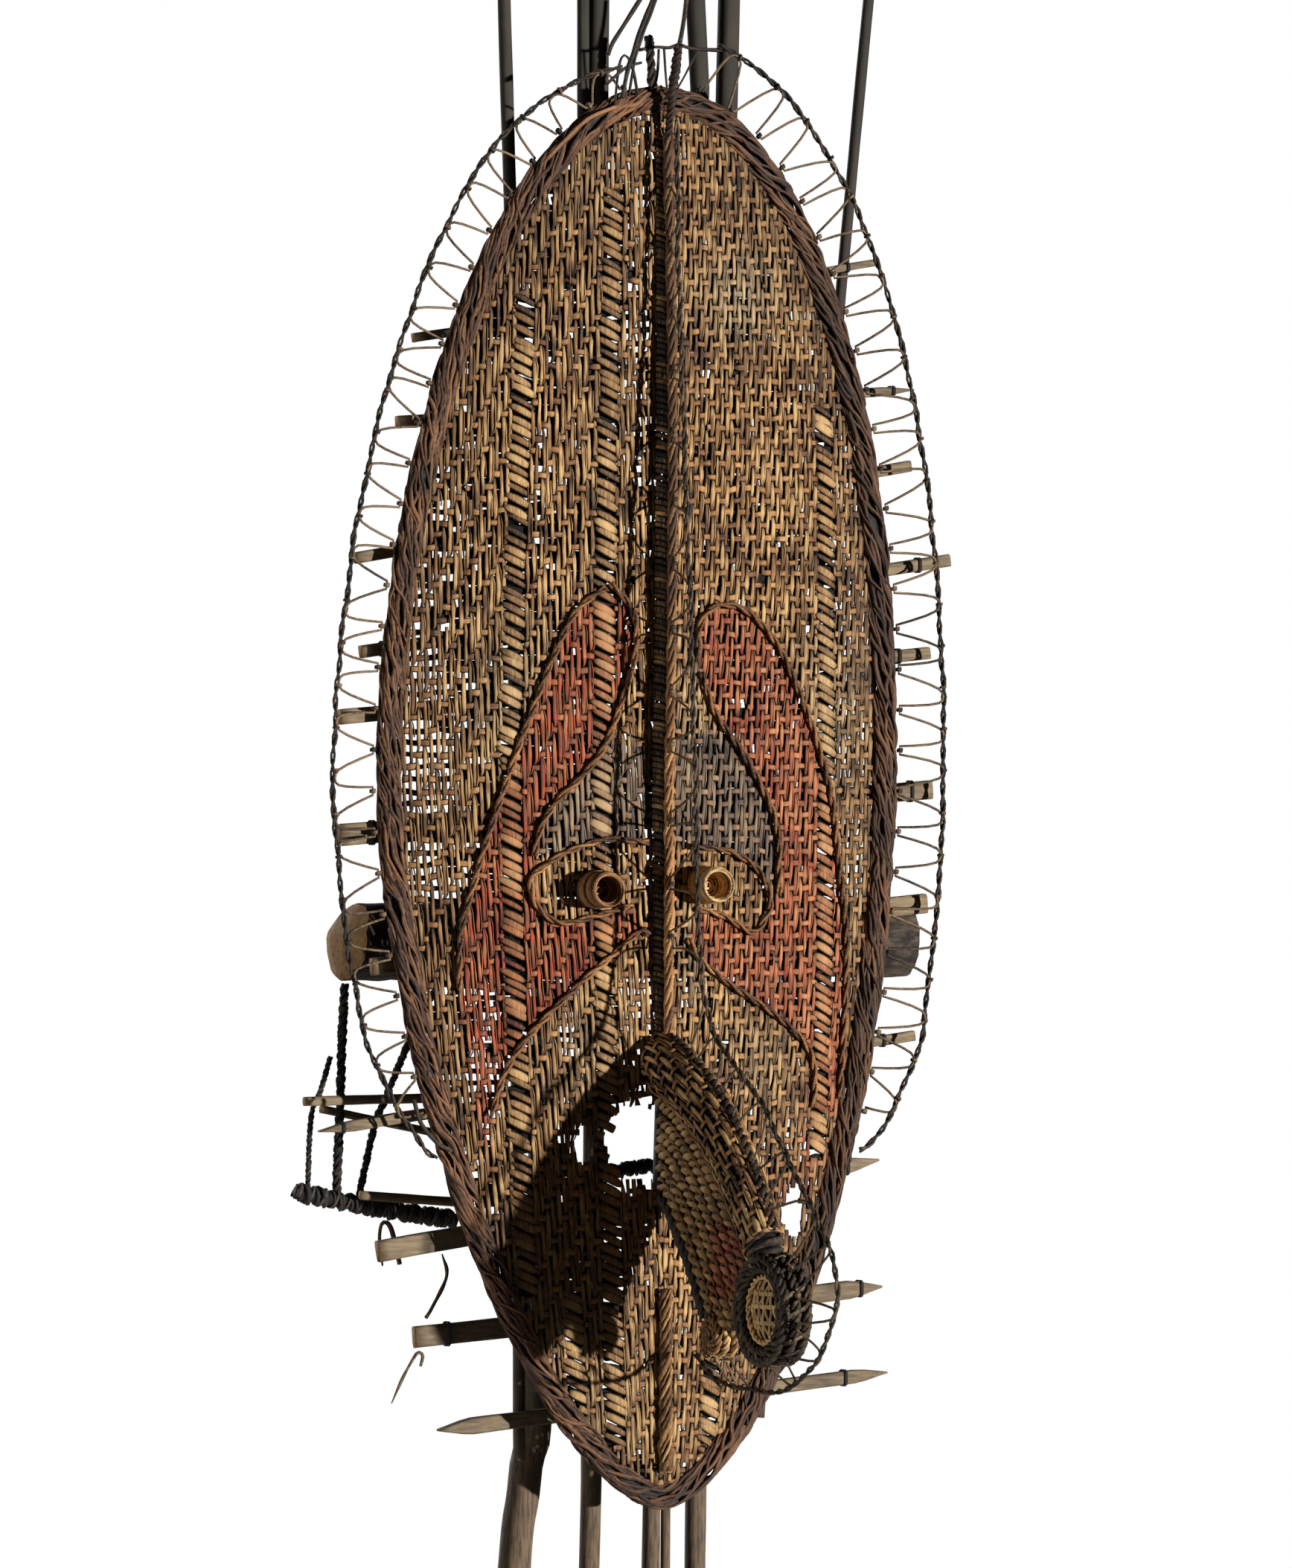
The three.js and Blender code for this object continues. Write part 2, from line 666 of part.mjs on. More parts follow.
function noseHalo() {
  const places = NOSE_HALO_PX.map((p, i) => atSide(p, haloLean(i / NOSE_HALO_PX.length)));
  const outer = new THREE.CatmullRomCurve3(places, false, 'centripetal');
  const rounds = noseRounds();
  const corners = [];
  for (let k = 1; k < 2 * NOSE_LOOPS; k++) {
    const place = outer.getPointAt(k / (2 * NOSE_LOOPS));
    corners.push(k % 2 ? place : tieFor(place, rounds, NOSE_LOOP_HALF_WIDTH + 2 * GAP));
  }
  const across = point(1, 0, 0);
  const route = new Route((t) => outer.getPointAt(Math.min(Math.max(t, 0), 1)), across);
  const hoop = solid(sweep(ellipseSection(NOSE_HOOP_RADIUS, NOSE_HOOP_RADIUS, 4), route, 32));
  const zigzag = solid(sweep(ellipseSection(NOSE_LOOP_HALF_WIDTH, LOOP_CANE, LOOP_SIDES),
    polyRoute(corners, across), corners.length - 1));
  return shape([crestRope(GAP), trunkRings(GAP), webRope(GAP)].reduce(
    (body, cutter) => body.subtract(solid(cutter)),
    hoop.add(zigzag).subtract(scrollRoom()).subtract(smallScrollRoom()),
  ));
}

// Timber

function beam(leftPx, rightPx) {
  const left = atDepth(leftPx, -BEAM_RADIUS).x;
  const right = atDepth(rightPx, -BEAM_RADIUS).x;
  const facets = 16;
  const corner = BEAM_RADIUS / Math.cos(Math.PI / facets);
  const log = new THREE.CylinderGeometry(corner, corner, right - left, facets, 1, false,
    Math.PI / facets);
  return log.rotateZ(Math.PI / 2).translate((left + right) / 2, -BEAM_RADIUS, 0);
}

// Poles: places down the pole, then its half width. Each bears on the laths in front of it.
const POLES = {
  pole_far_left: { px: [[676, -80], [678, 0], [686, 290], [698, 1962]], half: 5.8, foot: 'broken' },
  pole_left_short: { px: [[784, -80], [784, 0], [783, 420]], half: 5.4, foot: 'broken' },
  pole_left: { px: [[803, -80], [803, 0], [800, 1000], [795, 1985], [790, 2195]], half: 9.9 },
  pole_middle: { px: [[934, -80], [934, 0], [940, 120], [905, 1100], [875, 2020], [873, 2195]],
    half: 8.6 },
  pole_middle_foot: { px: [[902, 1820], [894, 2015], [893, 2195]], half: 4.6 },
  pole_right: { px: [[983, -80], [980, 0], [958, 1000], [935, 1990], [933, 2195]], half: 9.8 },
  pole_far_right: { px: [[1174, -80], [1167, 0], [1130, 390], [1064, 1250], [1020, 1905]],
    half: 5, foot: 'broken' },
};

function pole({ px, half, foot }) {
  const y = POLE_FRONT + Math.min(half, POLE_DEPTH / 2);
  const flat = Math.cos(Math.PI / SIDES_OF_ROD);
  const places = px.map((p) => atDepth(p, y));
  if (places[0].z > MASK_TOP) places[0].z = POLE_TOP;
  if (foot !== 'broken') places[places.length - 1].z = POLE_FOOT;
  const radii = places.map((_, i) => {
    const through = Math.min(half, POLE_DEPTH / 2) / flat;
    const across = half * (1.04 - 0.03 * i);
    return [across / flat, through];
  });
  return taperedRod(places, radii, SIDES_OF_ROD, point(0, 1, 0), DOWN);
}

const PROP_PX = [[735, 1330], [726, 1700], [719, 1920], [709, 1960], [703, 2011], [695, 2063],
  [686, 2195]];

function prop() {
  const y = -BEAM_RADIUS - 18;
  const places = PROP_PX.map((p) => atDepth(p, y));
  places[0].z = -BEAM_RADIUS - GAP;
  places[places.length - 1].z = POLE_FOOT;
  return taperedRod(places, [[12, 12], [14, 14], [15, 15], [15.5, 15.5], [15.5, 15.5], [15, 15]],
    SIDES_OF_ROD, point(0, 1, 0), DOWN);
}

// Laths: left end, right end, height at each end, whether each end is cut to a point.
const LATHS = {
  lath_1: [[556, 455], [1180, 353], 9, 7, false, false],
  lath_2: [[534, 567], [1225, 523], 12, 9, false, true],
  lath_3: [[478, 750], [1222, 626], 11, 11, false, false],
  lath_4: [[485, 877], [1274, 752], 12, 12, false, false],
  lath_5: [[457, 964], [1247, 878], 15, 12, false, false],
  lath_6: [[456, 1122], [1250, 1062], 21, 18, false, false],
  lath_7: [[500, 1300], [1243, 1214], 17, 19, false, false],
  lath_8: [[430, 1520], [1227, 1391], 11, 10, true, false],
  lath_9: [[508, 1682], [1178, 1558], 21, 15, false, true],
  lath_10: [[557, 1797], [1182, 1729], 21, 17, false, true],
  lath_11: [[590, 1921], [1189, 1845], 16, 13, true, true],
};

function lath([leftPx, rightPx, leftHeight, rightHeight, leftPoint, rightPoint]) {
  const middle = LATH_BACK - LATH_DEPTH / 2;
  const left = atDepth(leftPx, middle);
  const right = atDepth(rightPx, middle);
  const taper = 34;
  const corners = [];
  const end = (place, height, inward, pointed) => {
    const x = place.x + (pointed ? inward * taper : 0);
    const z = place.z + (pointed ? inward * taper * ((right.z - left.z) / (right.x - left.x)) : 0);
    const low = new THREE.Vector2(x, z - height / 2);
    const high = new THREE.Vector2(x, z + height / 2);
    const tip = new THREE.Vector2(place.x, place.z);
    return pointed ? [high, tip, low] : [high, low];
  };
  corners.push(...end(left, leftHeight, 1, leftPoint));
  corners.push(...end(right, rightHeight, -1, rightPoint).reverse());
  const board = new THREE.ExtrudeGeometry(new THREE.Shape(corners),
    { depth: Math.min(LATH_DEPTH, leftHeight), bevelEnabled: false });
  return board.rotateX(Math.PI / 2).translate(0, LATH_BACK, 0);
}

// The cord rack under the beam's left end
const RACK_Y = -BEAM_RADIUS;
const BAR_RADIUS = 10;
const WRAPPED_BAR_PX = [[397, 1602], [500, 1622], [612, 1640]];
const INNER_BAR_RADIUS = 8;
const INNER_BAR_PX = [[815, 1575], [908, 1561]];
const CORD_TOP = -BEAM_RADIUS - 2.5;

function rackRod(pixels, radius, y, sides = 6) {
  return taperedRod(pixels.map((p) => atDepth(p, y)), [[radius, radius]], sides, point(0, 1, 0));
}

function rackCord(pixels, radius, fromBeam) {
  const places = pixels.map((p) => atDepth(p, RACK_Y));
  if (fromBeam) places[0].z = CORD_TOP;
  const bar = solid(rackRod(WRAPPED_BAR_PX, BAR_RADIUS + GAP, RACK_Y, 8));
  return shape(solid(cane(places, radius, 2 * places.length, 6)).subtract(bar));
}

const RACK = {
  rack_bar: () => rackRod(WRAPPED_BAR_PX, BAR_RADIUS, RACK_Y, 8),
  rack_top_stick: () => rackRod([[409, 1480], [600, 1475]], 4.5, RACK_Y - 10.2),
  rack_cross_stick: () => rackRod([[431, 1490], [583, 1522]], 4, RACK_Y + 10.2),
  rack_side_stick: () => rackRod([[484, 1606], [621, 1616]], 4.5, RACK_Y - BAR_RADIUS - 5),
  rack_cord_long: () => rackCord([[463, 1325], [459, 1410], [457, 1487], [452, 1600]], 5.2, true),
  rack_cord_left: () => rackCord([[444, 1420], [430, 1468], [418, 1502], [413, 1604]], 3.2, false),
  rack_cord_right: () => rackCord([[590, 1325], [556, 1385], [519, 1474], [503, 1514], [481, 1614]],
    4.2, true),
  inner_bar: () => rackRod(INNER_BAR_PX, INNER_BAR_RADIUS, RACK_Y),
};

function innerCord() {
  const places = [[884, 1320], [886, 1440], [884, 1566]].map((p) => atDepth(p, RACK_Y));
  places[0].z = CORD_TOP;
  const bar = solid(rackRod(INNER_BAR_PX, INNER_BAR_RADIUS + GAP, RACK_Y));
  return shape(solid(cane(places, 4.2, 5, 6)).subtract(bar));
}

// Loose strands left hanging from the rack and the laths
const LATH_MIDDLE = LATH_BACK - LATH_DEPTH / 2;
const STRANDS = {
  strand_rack: { px: [[514, 1701], [510, 1668], [512, 1647], [518, 1642], [525, 1650], [531, 1672],
    [537, 1699]], y: RACK_Y, radius: 2.2 },
  strand_lath_9: { px: [[594, 1685], [600, 1715], [580, 1758], [572, 1771]], y: LATH_MIDDLE,
    radius: 1.8 },
  strand_lath_10: { px: [[526, 1886], [542, 1850], [557, 1823], [563, 1817], [568, 1822],
    [565, 1836]], y: LATH_MIDDLE, radius: 1.6 },
};

function looseStrand({ px, y, radius }) {
  return cane(px.map((p) => atDepth(p, y)), radius, 9, 4);
}

// Where a lath stands clear of the bowed rim, a short wrapped tie joins the two.
const TIE_RADIUS = 4;

function rimTie(spec, side) {
  const [leftPx, rightPx, leftHeight] = spec;
  const left = atDepth(leftPx, LATH_MIDDLE);
  const right = atDepth(rightPx, LATH_MIDDLE);
  let place = left;
  for (let pass = 0; pass < 6; pass++) {
    const x = side * (halfWidthAt(place.z) - RIM_WIDTH / 2);
    place = left.clone().lerp(right, (x - left.x) / (right.x - left.x));
  }
  const front = rimY(place.z) + RIM_DEPTH / 2 + 2.2;
  const back = LATH_BACK - Math.min(LATH_DEPTH, leftHeight) - GAP;
  return taperedRod([point(place.x, front, place.z), point(place.x, back, place.z)],
    [[TIE_RADIUS, TIE_RADIUS]], 6, point(0, 0, 1));
}

const OBJECT = new THREE.Group();

function put(name, geometry, surface) {
  const mesh = new THREE.Mesh(bare(geometry), surface);
  mesh.name = name;
  OBJECT.add(mesh);
}

put('face_panel', facePanel(), CANE);
put('rim_bundle', rimBundle(), RUST_CANE);
put('nose_ridge', noseRidge(), CANE);
put('crest_rope', shape(solid(crestRope()).subtract(solid(trunkRings(GAP)))), CANE);
put('chin_rope', chinRope(), CANE);
put('top_finial', topFinial(), DARK_CANE);
put('nose_trunk', noseTrunk(), CANE);
put('nose_web', noseWeb(), CANE);
put('nose_web_rope', webRopePiece(), DARK_CANE);
put('nose_scroll', noseScroll(), RUST_CANE);
put('nose_scroll_disc', scrollDisc(), CANE);
put('nose_small_scroll', smallScroll(), CANE);
put('eye_cup_left', eyeCup(LEFT_EYE_PX), RUST_CANE);
put('eye_cup_right', eyeCup(RIGHT_EYE_PX), RUST_CANE);
for (const [name, pixels] of Object.entries(BORDER_CANES)) put(name, borderCane(pixels), RUST_CANE);
put('halo_left', halo(-1, 22), DARK_CANE);
put('halo_right', halo(1, HOOP_OUT), DARK_CANE);
put('nose_halo', noseHalo(), DARK_CANE);
put('cross_beam', beam([460, 1272], [1213, 1258]), BEAM_WOOD);
for (const [name, spec] of Object.entries(POLES)) put(name, pole(spec), GREY_WOOD);
put('pole_prop', prop(), GREY_WOOD);
for (const [name, spec] of Object.entries(LATHS)) put(name, lath(spec), GREY_WOOD);
for (const [name, make] of Object.entries(RACK)) put(name, make(), DARK_CANE);
put('inner_cord', innerCord(), DARK_CANE);
for (const [name, spec] of Object.entries(STRANDS)) put(name, looseStrand(spec), DARK_CANE);
put('rim_tie_left', rimTie(LATHS.lath_1, -1), DARK_CANE);
put('rim_tie_right', rimTie(LATHS.lath_1, 1), DARK_CANE);

export default OBJECT;
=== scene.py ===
"""Basketry gable mask: split-cane weave, bundled rim, looped borders and hooked nose, on its pole frame.

Shapes are worked out in millimetres, in the solids' own frame, and become metres when a mesh is made.
Places read from the photograph are pixels, [across, down].
"""
import math

import bpy
import numpy as np
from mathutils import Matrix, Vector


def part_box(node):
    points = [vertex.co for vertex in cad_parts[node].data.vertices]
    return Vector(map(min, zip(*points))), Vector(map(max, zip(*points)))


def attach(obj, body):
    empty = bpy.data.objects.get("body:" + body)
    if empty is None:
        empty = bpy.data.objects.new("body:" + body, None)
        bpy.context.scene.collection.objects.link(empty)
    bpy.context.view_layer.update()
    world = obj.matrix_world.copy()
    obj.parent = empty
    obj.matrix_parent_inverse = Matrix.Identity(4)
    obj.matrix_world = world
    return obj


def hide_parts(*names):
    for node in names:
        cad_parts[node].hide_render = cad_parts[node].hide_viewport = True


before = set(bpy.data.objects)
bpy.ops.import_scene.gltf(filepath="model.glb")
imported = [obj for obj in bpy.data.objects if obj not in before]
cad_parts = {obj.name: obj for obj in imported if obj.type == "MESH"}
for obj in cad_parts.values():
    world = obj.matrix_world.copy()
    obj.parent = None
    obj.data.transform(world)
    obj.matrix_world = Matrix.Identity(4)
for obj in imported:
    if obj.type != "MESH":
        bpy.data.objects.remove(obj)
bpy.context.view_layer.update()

MM = 0.001

# The photograph's view
PHOTO_HEIGHT = 2107
MM_PER_PIXEL = 0.7
PHOTO_MIDDLE = (868, 1053.5)
RIM_Y = -115.6
TARGET = np.array([7.8, RIM_Y, 148.0])
VIEW_DISTANCE = 12000.0
VIEW_TURN = math.radians(26)
COS_TURN, SIN_TURN = math.cos(VIEW_TURN), math.sin(VIEW_TURN)

# The mask's outline
MASK_HEIGHT = 1336
MASK_TOP = 803
HALF_WIDTH = 272.6
WIDEST_AT = 0.485
JAW_FULLNESS = 1.7
JAW_ROUNDNESS = 0.59
RIM_WIDTH = 27
RIM_DEPTH = 18
INNER_HALF_WIDTH = HALF_WIDTH - RIM_WIDTH

# The face's relief
PANEL_FRONT = 2.5
FACE_CROWN = 42
END_BOW = 49
BOW_CENTRE = 135
BOW_REACH = 668
RIDGE_TOP = 755
RIDGE_END = -96
RIDGE_HALF_WIDTH = 8
RIDGE_HEIGHT = 13
RIDGE_LEAST = 1.5
CHIN_TOP = -325
CHIN_FOOT = -498
ROPE_LIFT = 5.3

# The weave
COLUMNS = 43
WEFT_PITCH = 11.35
WEAVE_TOP = 777
WEAVE_ROWS = 113
SWING = 1.5
STAKE_HALF_WIDTH = 1.9
LINING_BEHIND = 2.6

# The looped borders
HOOP_OUT = 46
HOOP_FORWARD = 7
HOOP_START = 0.045
HOOP_END = 0.692
LOOP_PITCH = 38
NOSE_LOOPS = 26

# The nose
SCROLL_RADIUS = 53
SCROLL_HOLE = 34
SMALL_SCROLL_RADIUS = 24
TRUNK_DEPTH = 31
TRUNK_HALF_WIDTH = 23
TRUNK_TAPER = 0.22
DISC_RADIUS = 31
DISC_DOME = 9
DOME_EDGE = 33
DISC_STRIP_PITCH = 5.6

# The timber, in layers from the back
BEAM_RADIUS = 37
POLE_DEPTH = 20
POLE_FRONT = -94.3
LATH_BACK = -94.6
LATH_DEPTH = 11.7
LATH_MIDDLE = LATH_BACK - LATH_DEPTH / 2
POLE_TOP = 945
POLE_FOOT = -650

FRONT = np.array([0, -1.0, 0])
RIGHT = np.array([1.0, 0, 0])
UP = np.array([0, 0, 1.0])


def set_camera():
    """A level camera at VIEW_DISTANCE, turned to the mask's left and framing the photograph's height."""
    data = bpy.data.cameras.new("camera")
    data.sensor_fit = "VERTICAL"
    data.sensor_height = 36
    data.lens = data.sensor_height * VIEW_DISTANCE / (PHOTO_HEIGHT * MM_PER_PIXEL)
    data.clip_end = 100
    camera = bpy.data.objects.new("camera", data)
    looking = np.array([math.sin(VIEW_TURN), math.cos(VIEW_TURN), 0])
    camera.location = (TARGET - VIEW_DISTANCE * looking) * MM
    camera.rotation_euler = (math.pi / 2, 0, -VIEW_TURN)
    bpy.context.scene.collection.objects.link(camera)
    bpy.context.scene.camera = camera


set_camera()


# Photograph to object

def seen(x, back, down):
    """The point x across and back behind the target that shows at height down of the photograph."""
    away = x * SIN_TURN + back * COS_TURN
    z = (PHOTO_MIDDLE[1] - down) * MM_PER_PIXEL * (1 + away / VIEW_DISTANCE)
    return np.stack([TARGET[0] + x, RIM_Y + back + 0 * x, TARGET[2] + z], -1)


def sight_slope(pixels):
    """How far to the side a pixel's line of sight goes for each unit of distance."""
    return (pixels[..., 0] - PHOTO_MIDDLE[0]) * MM_PER_PIXEL / VIEW_DISTANCE


def at_depth(pixels, y):
    """Pixels met by the plane at depth y."""
    pixels = np.asarray(pixels, float)
    slope = sight_slope(pixels)
    back = y - RIM_Y
    x = (slope * VIEW_DISTANCE + back * (slope * COS_TURN + SIN_TURN)) / (COS_TURN - slope * SIN_TURN)
    return seen(x, back, pixels[..., 1])


def at_side(pixels, side):
    """Pixels met by the plane at x = side, which runs from front to back."""
    pixels = np.asarray(pixels, float)
    slope = sight_slope(pixels)
    x = side - TARGET[0] + 0 * slope
    back = (x * (COS_TURN - slope * SIN_TURN) - slope * VIEW_DISTANCE) / (slope * COS_TURN + SIN_TURN)
    return seen(x, back, pixels[..., 1])


def on_face(pixels, lift=0.0):
    """Pixels met by the face, lifted towards the viewer: each pass uses the depth found by the last."""
    place = at_depth(pixels, RIM_Y - FACE_CROWN)
    for _ in range(4):
        place = at_depth(pixels, face_y(place[..., 0], place[..., 2]) - lift)
    return place


# The mask's surface

def outline(turn, out):
    """(x, z) on the outline's right half, turn 0 at the top to 1 at the chin, moved out along its normal."""
    def at(t):
        """The outline itself: a half ellipse above the widest line and a fuller curve below."""
        angle = np.clip(t, 0, 1) * math.pi
        low = np.clip(angle - math.pi / 2, 0, math.pi / 2)
        upper = angle <= math.pi / 2
        share = np.where(upper, WIDEST_AT * (1 - np.cos(angle)),
                         WIDEST_AT + (1 - WIDEST_AT) * np.sin(low) ** (2 / JAW_FULLNESS))
        half = np.where(upper, np.sin(angle), np.maximum(np.cos(low), 0) ** (2 * JAW_ROUNDNESS))
        return np.stack([HALF_WIDTH * half, MASK_TOP - share * MASK_HEIGHT], -1)
    run = unit(at(turn + 1e-3) - at(turn - 1e-3))
    return at(turn) + np.stack([-run[..., 1], run[..., 0]], -1) * np.asarray(out)[..., None]


def half_width_at(z):
    """The outline's half width at a height: a half ellipse above the widest line, a fuller curve below."""
    share = np.clip((MASK_TOP - z) / MASK_HEIGHT, 0, 1)
    upper = np.sqrt(np.maximum(1 - ((WIDEST_AT - share) / WIDEST_AT) ** 2, 0))
    low = np.clip((share - WIDEST_AT) / (1 - WIDEST_AT), 0, 1)
    lower = (1 - low ** JAW_FULLNESS) ** JAW_ROUNDNESS
    return HALF_WIDTH * np.where(share <= WIDEST_AT, upper, lower)


def rim_y(z):
    """The rim's depth: its ends come forward of its middle by END_BOW."""
    return RIM_Y - END_BOW * np.abs((z - BOW_CENTRE) / BOW_REACH) ** 1.4


def face_y(x, z):
    """The face's depth: the rim's, less a crown that fades to the edges as a power of the way out."""
    share = np.clip((MASK_TOP - z) / MASK_HEIGHT, 0, 1)
    crown = FACE_CROWN * np.sin(math.pi * share) ** 0.8
    across = np.minimum(np.abs(x) / np.maximum(half_width_at(z) - RIM_WIDTH, 1), 1)
    return rim_y(z) - crown * (1 - across ** 2.2)


def ridge_height(z):
    """The ridge's height over the face, a sine arch between the forehead and the nose."""
    along = np.clip(((MASK_TOP - z) / MASK_HEIGHT - 0.08) / 0.62, 0, 1)
    return RIDGE_LEAST + RIDGE_HEIGHT * np.sin(math.pi * along) ** 0.7


def crest(z, lift):
    """Points on the ridge's crest, lifted forward."""
    z = np.asarray(z, float)
    return np.stack([0 * z, face_y(0 * z, z) - 3.1 - ridge_height(z) - lift, z], -1)


def within_rim(x, z, under):
    """True inside the rim's inner edge, or up to a distance under the rim."""
    turn = np.linspace(0, 1, 1500)
    edge = outline(turn, under - RIM_WIDTH)
    return np.abs(x) < np.interp(-z, -edge[:, 1], edge[:, 0], left=0, right=0)


# Paths

def unit(v):
    """Vectors made one long."""
    return v / np.maximum(np.linalg.norm(v, axis=-1, keepdims=True), 1e-9)


def smoothly(t):
    """0 to 1 with level ends."""
    t = np.clip(t, 0, 1)
    return t * t * (3 - 2 * t)


def run_length(points):
    """The distance gone at each place of a path."""
    steps = np.linalg.norm(np.diff(points, axis=0), axis=-1)
    return np.concatenate([[0], np.cumsum(steps)])


def even_run(points, step):
    """The same polyline with its places about a step apart."""
    gone = run_length(points)
    wanted = np.linspace(0, gone[-1], max(int(gone[-1] / step), 3) + 1)
    return np.stack([np.interp(wanted, gone, points[:, k]) for k in range(3)], -1)


def smooth_run(points, step):
    """A Catmull-Rom curve through the points, with its places about a step apart."""
    p = np.asarray(points, float)
    ends = np.vstack([2 * p[0] - p[1], p, 2 * p[-1] - p[-2]])
    t = np.linspace(0, len(p) - 1, 40 * len(p))
    i = np.minimum(t.astype(int), len(p) - 2)
    f = (t - i)[:, None]
    a, b, c, d = ends[i], ends[i + 1], ends[i + 2], ends[i + 3]
    fine = 0.5 * (2 * b + (c - a) * f + (2 * a - 5 * b + 4 * c - d) * f ** 2
                  + (3 * b - a - 3 * c + d) * f ** 3)
    return even_run(fine, step)


def on_line(line, share):
    """The place and the direction at a share of an evenly stepped line."""
    steps = np.linspace(0, 1, len(line))
    run = np.gradient(line, axis=0)
    place = np.stack([np.interp(share, steps, line[:, k]) for k in range(3)], -1)
    return place, unit(np.stack([np.interp(share, steps, run[:, k]) for k in range(3)], -1))


def axes_along(paths, outward):
    """(across, out) at each place: out is outward made square to the run, and across is out x run."""
    run = unit(np.gradient(paths, axis=-2))
    outward = np.broadcast_to(outward, paths.shape)
    out = unit(outward - np.sum(outward * run, -1, keepdims=True) * run)
    return np.cross(out, run), out


def wander(strands, stations, every, seed):
    """Slow random drift in -1..1: a random value every few stations, blended by a cosine between them."""
    knots = np.random.default_rng(seed).uniform(-1, 1, (strands, stations // every + 2))
    at = np.arange(stations) / every
    i = at.astype(int)
    f = (1 - np.cos(math.pi * (at - i))) / 2
    return knots[:, i] * (1 - f) + knots[:, i + 1] * f


def drift(lines, middle, most, every, seed):
    """A value for each place of some strands, or of one path, that wanders slowly about its middle."""
    strands, stations = (1, len(lines)) if lines.ndim == 2 else lines.shape[:2]
    return middle + most * wander(strands, stations, every, seed)


def shaken(path, most, every, seed):
    """The path with each coordinate drifting by as many millimetres as most."""
    return path + most * np.stack([wander(1, len(path), every, seed + k)[0] for k in range(3)], -1)


def wound(path, outward, across_radius, out_radius, pitch, phases, hand=1, per_turn=10):
    """Strands wound round a path, a turn to each pitch of length: path + across A cos a + out B sin a, where
    a is 2 pi length / pitch + phase. Gives the strands and the directions away from the path."""
    path = even_run(path, pitch / per_turn)
    side, out = axes_along(path, outward)
    angle = hand * 2 * math.pi * run_length(path) / pitch + np.asarray(phases)[:, None]
    away = (side * (across_radius * np.cos(angle))[..., None]
            + out * (out_radius * np.sin(angle))[..., None])
    return path + away, unit(away)


def spread(count):
    """Evenly spread phases for a rope of so many strands."""
    return np.arange(count) * 2 * math.pi / count


# Meshes

def ring_section(sides, square=2.0):
    """Corners of a superellipse: cos and sin, each raised to 2 / square."""
    angle = (np.arange(sides) + 0.5) * 2 * math.pi / sides
    corner = np.stack([np.cos(angle), np.sin(angle)], -1)
    return np.sign(corner) * np.abs(corner) ** (2 / square)


ROUND = ring_section(5)
STRAP = np.array([(1, -0.3), (0.5, 1), (-0.5, 1), (-1, -0.3)])
# A strap's crown catches the light and its two edges lie in the crevices
STRAP_LIGHT = (0.25, 1, 1, 0.25)


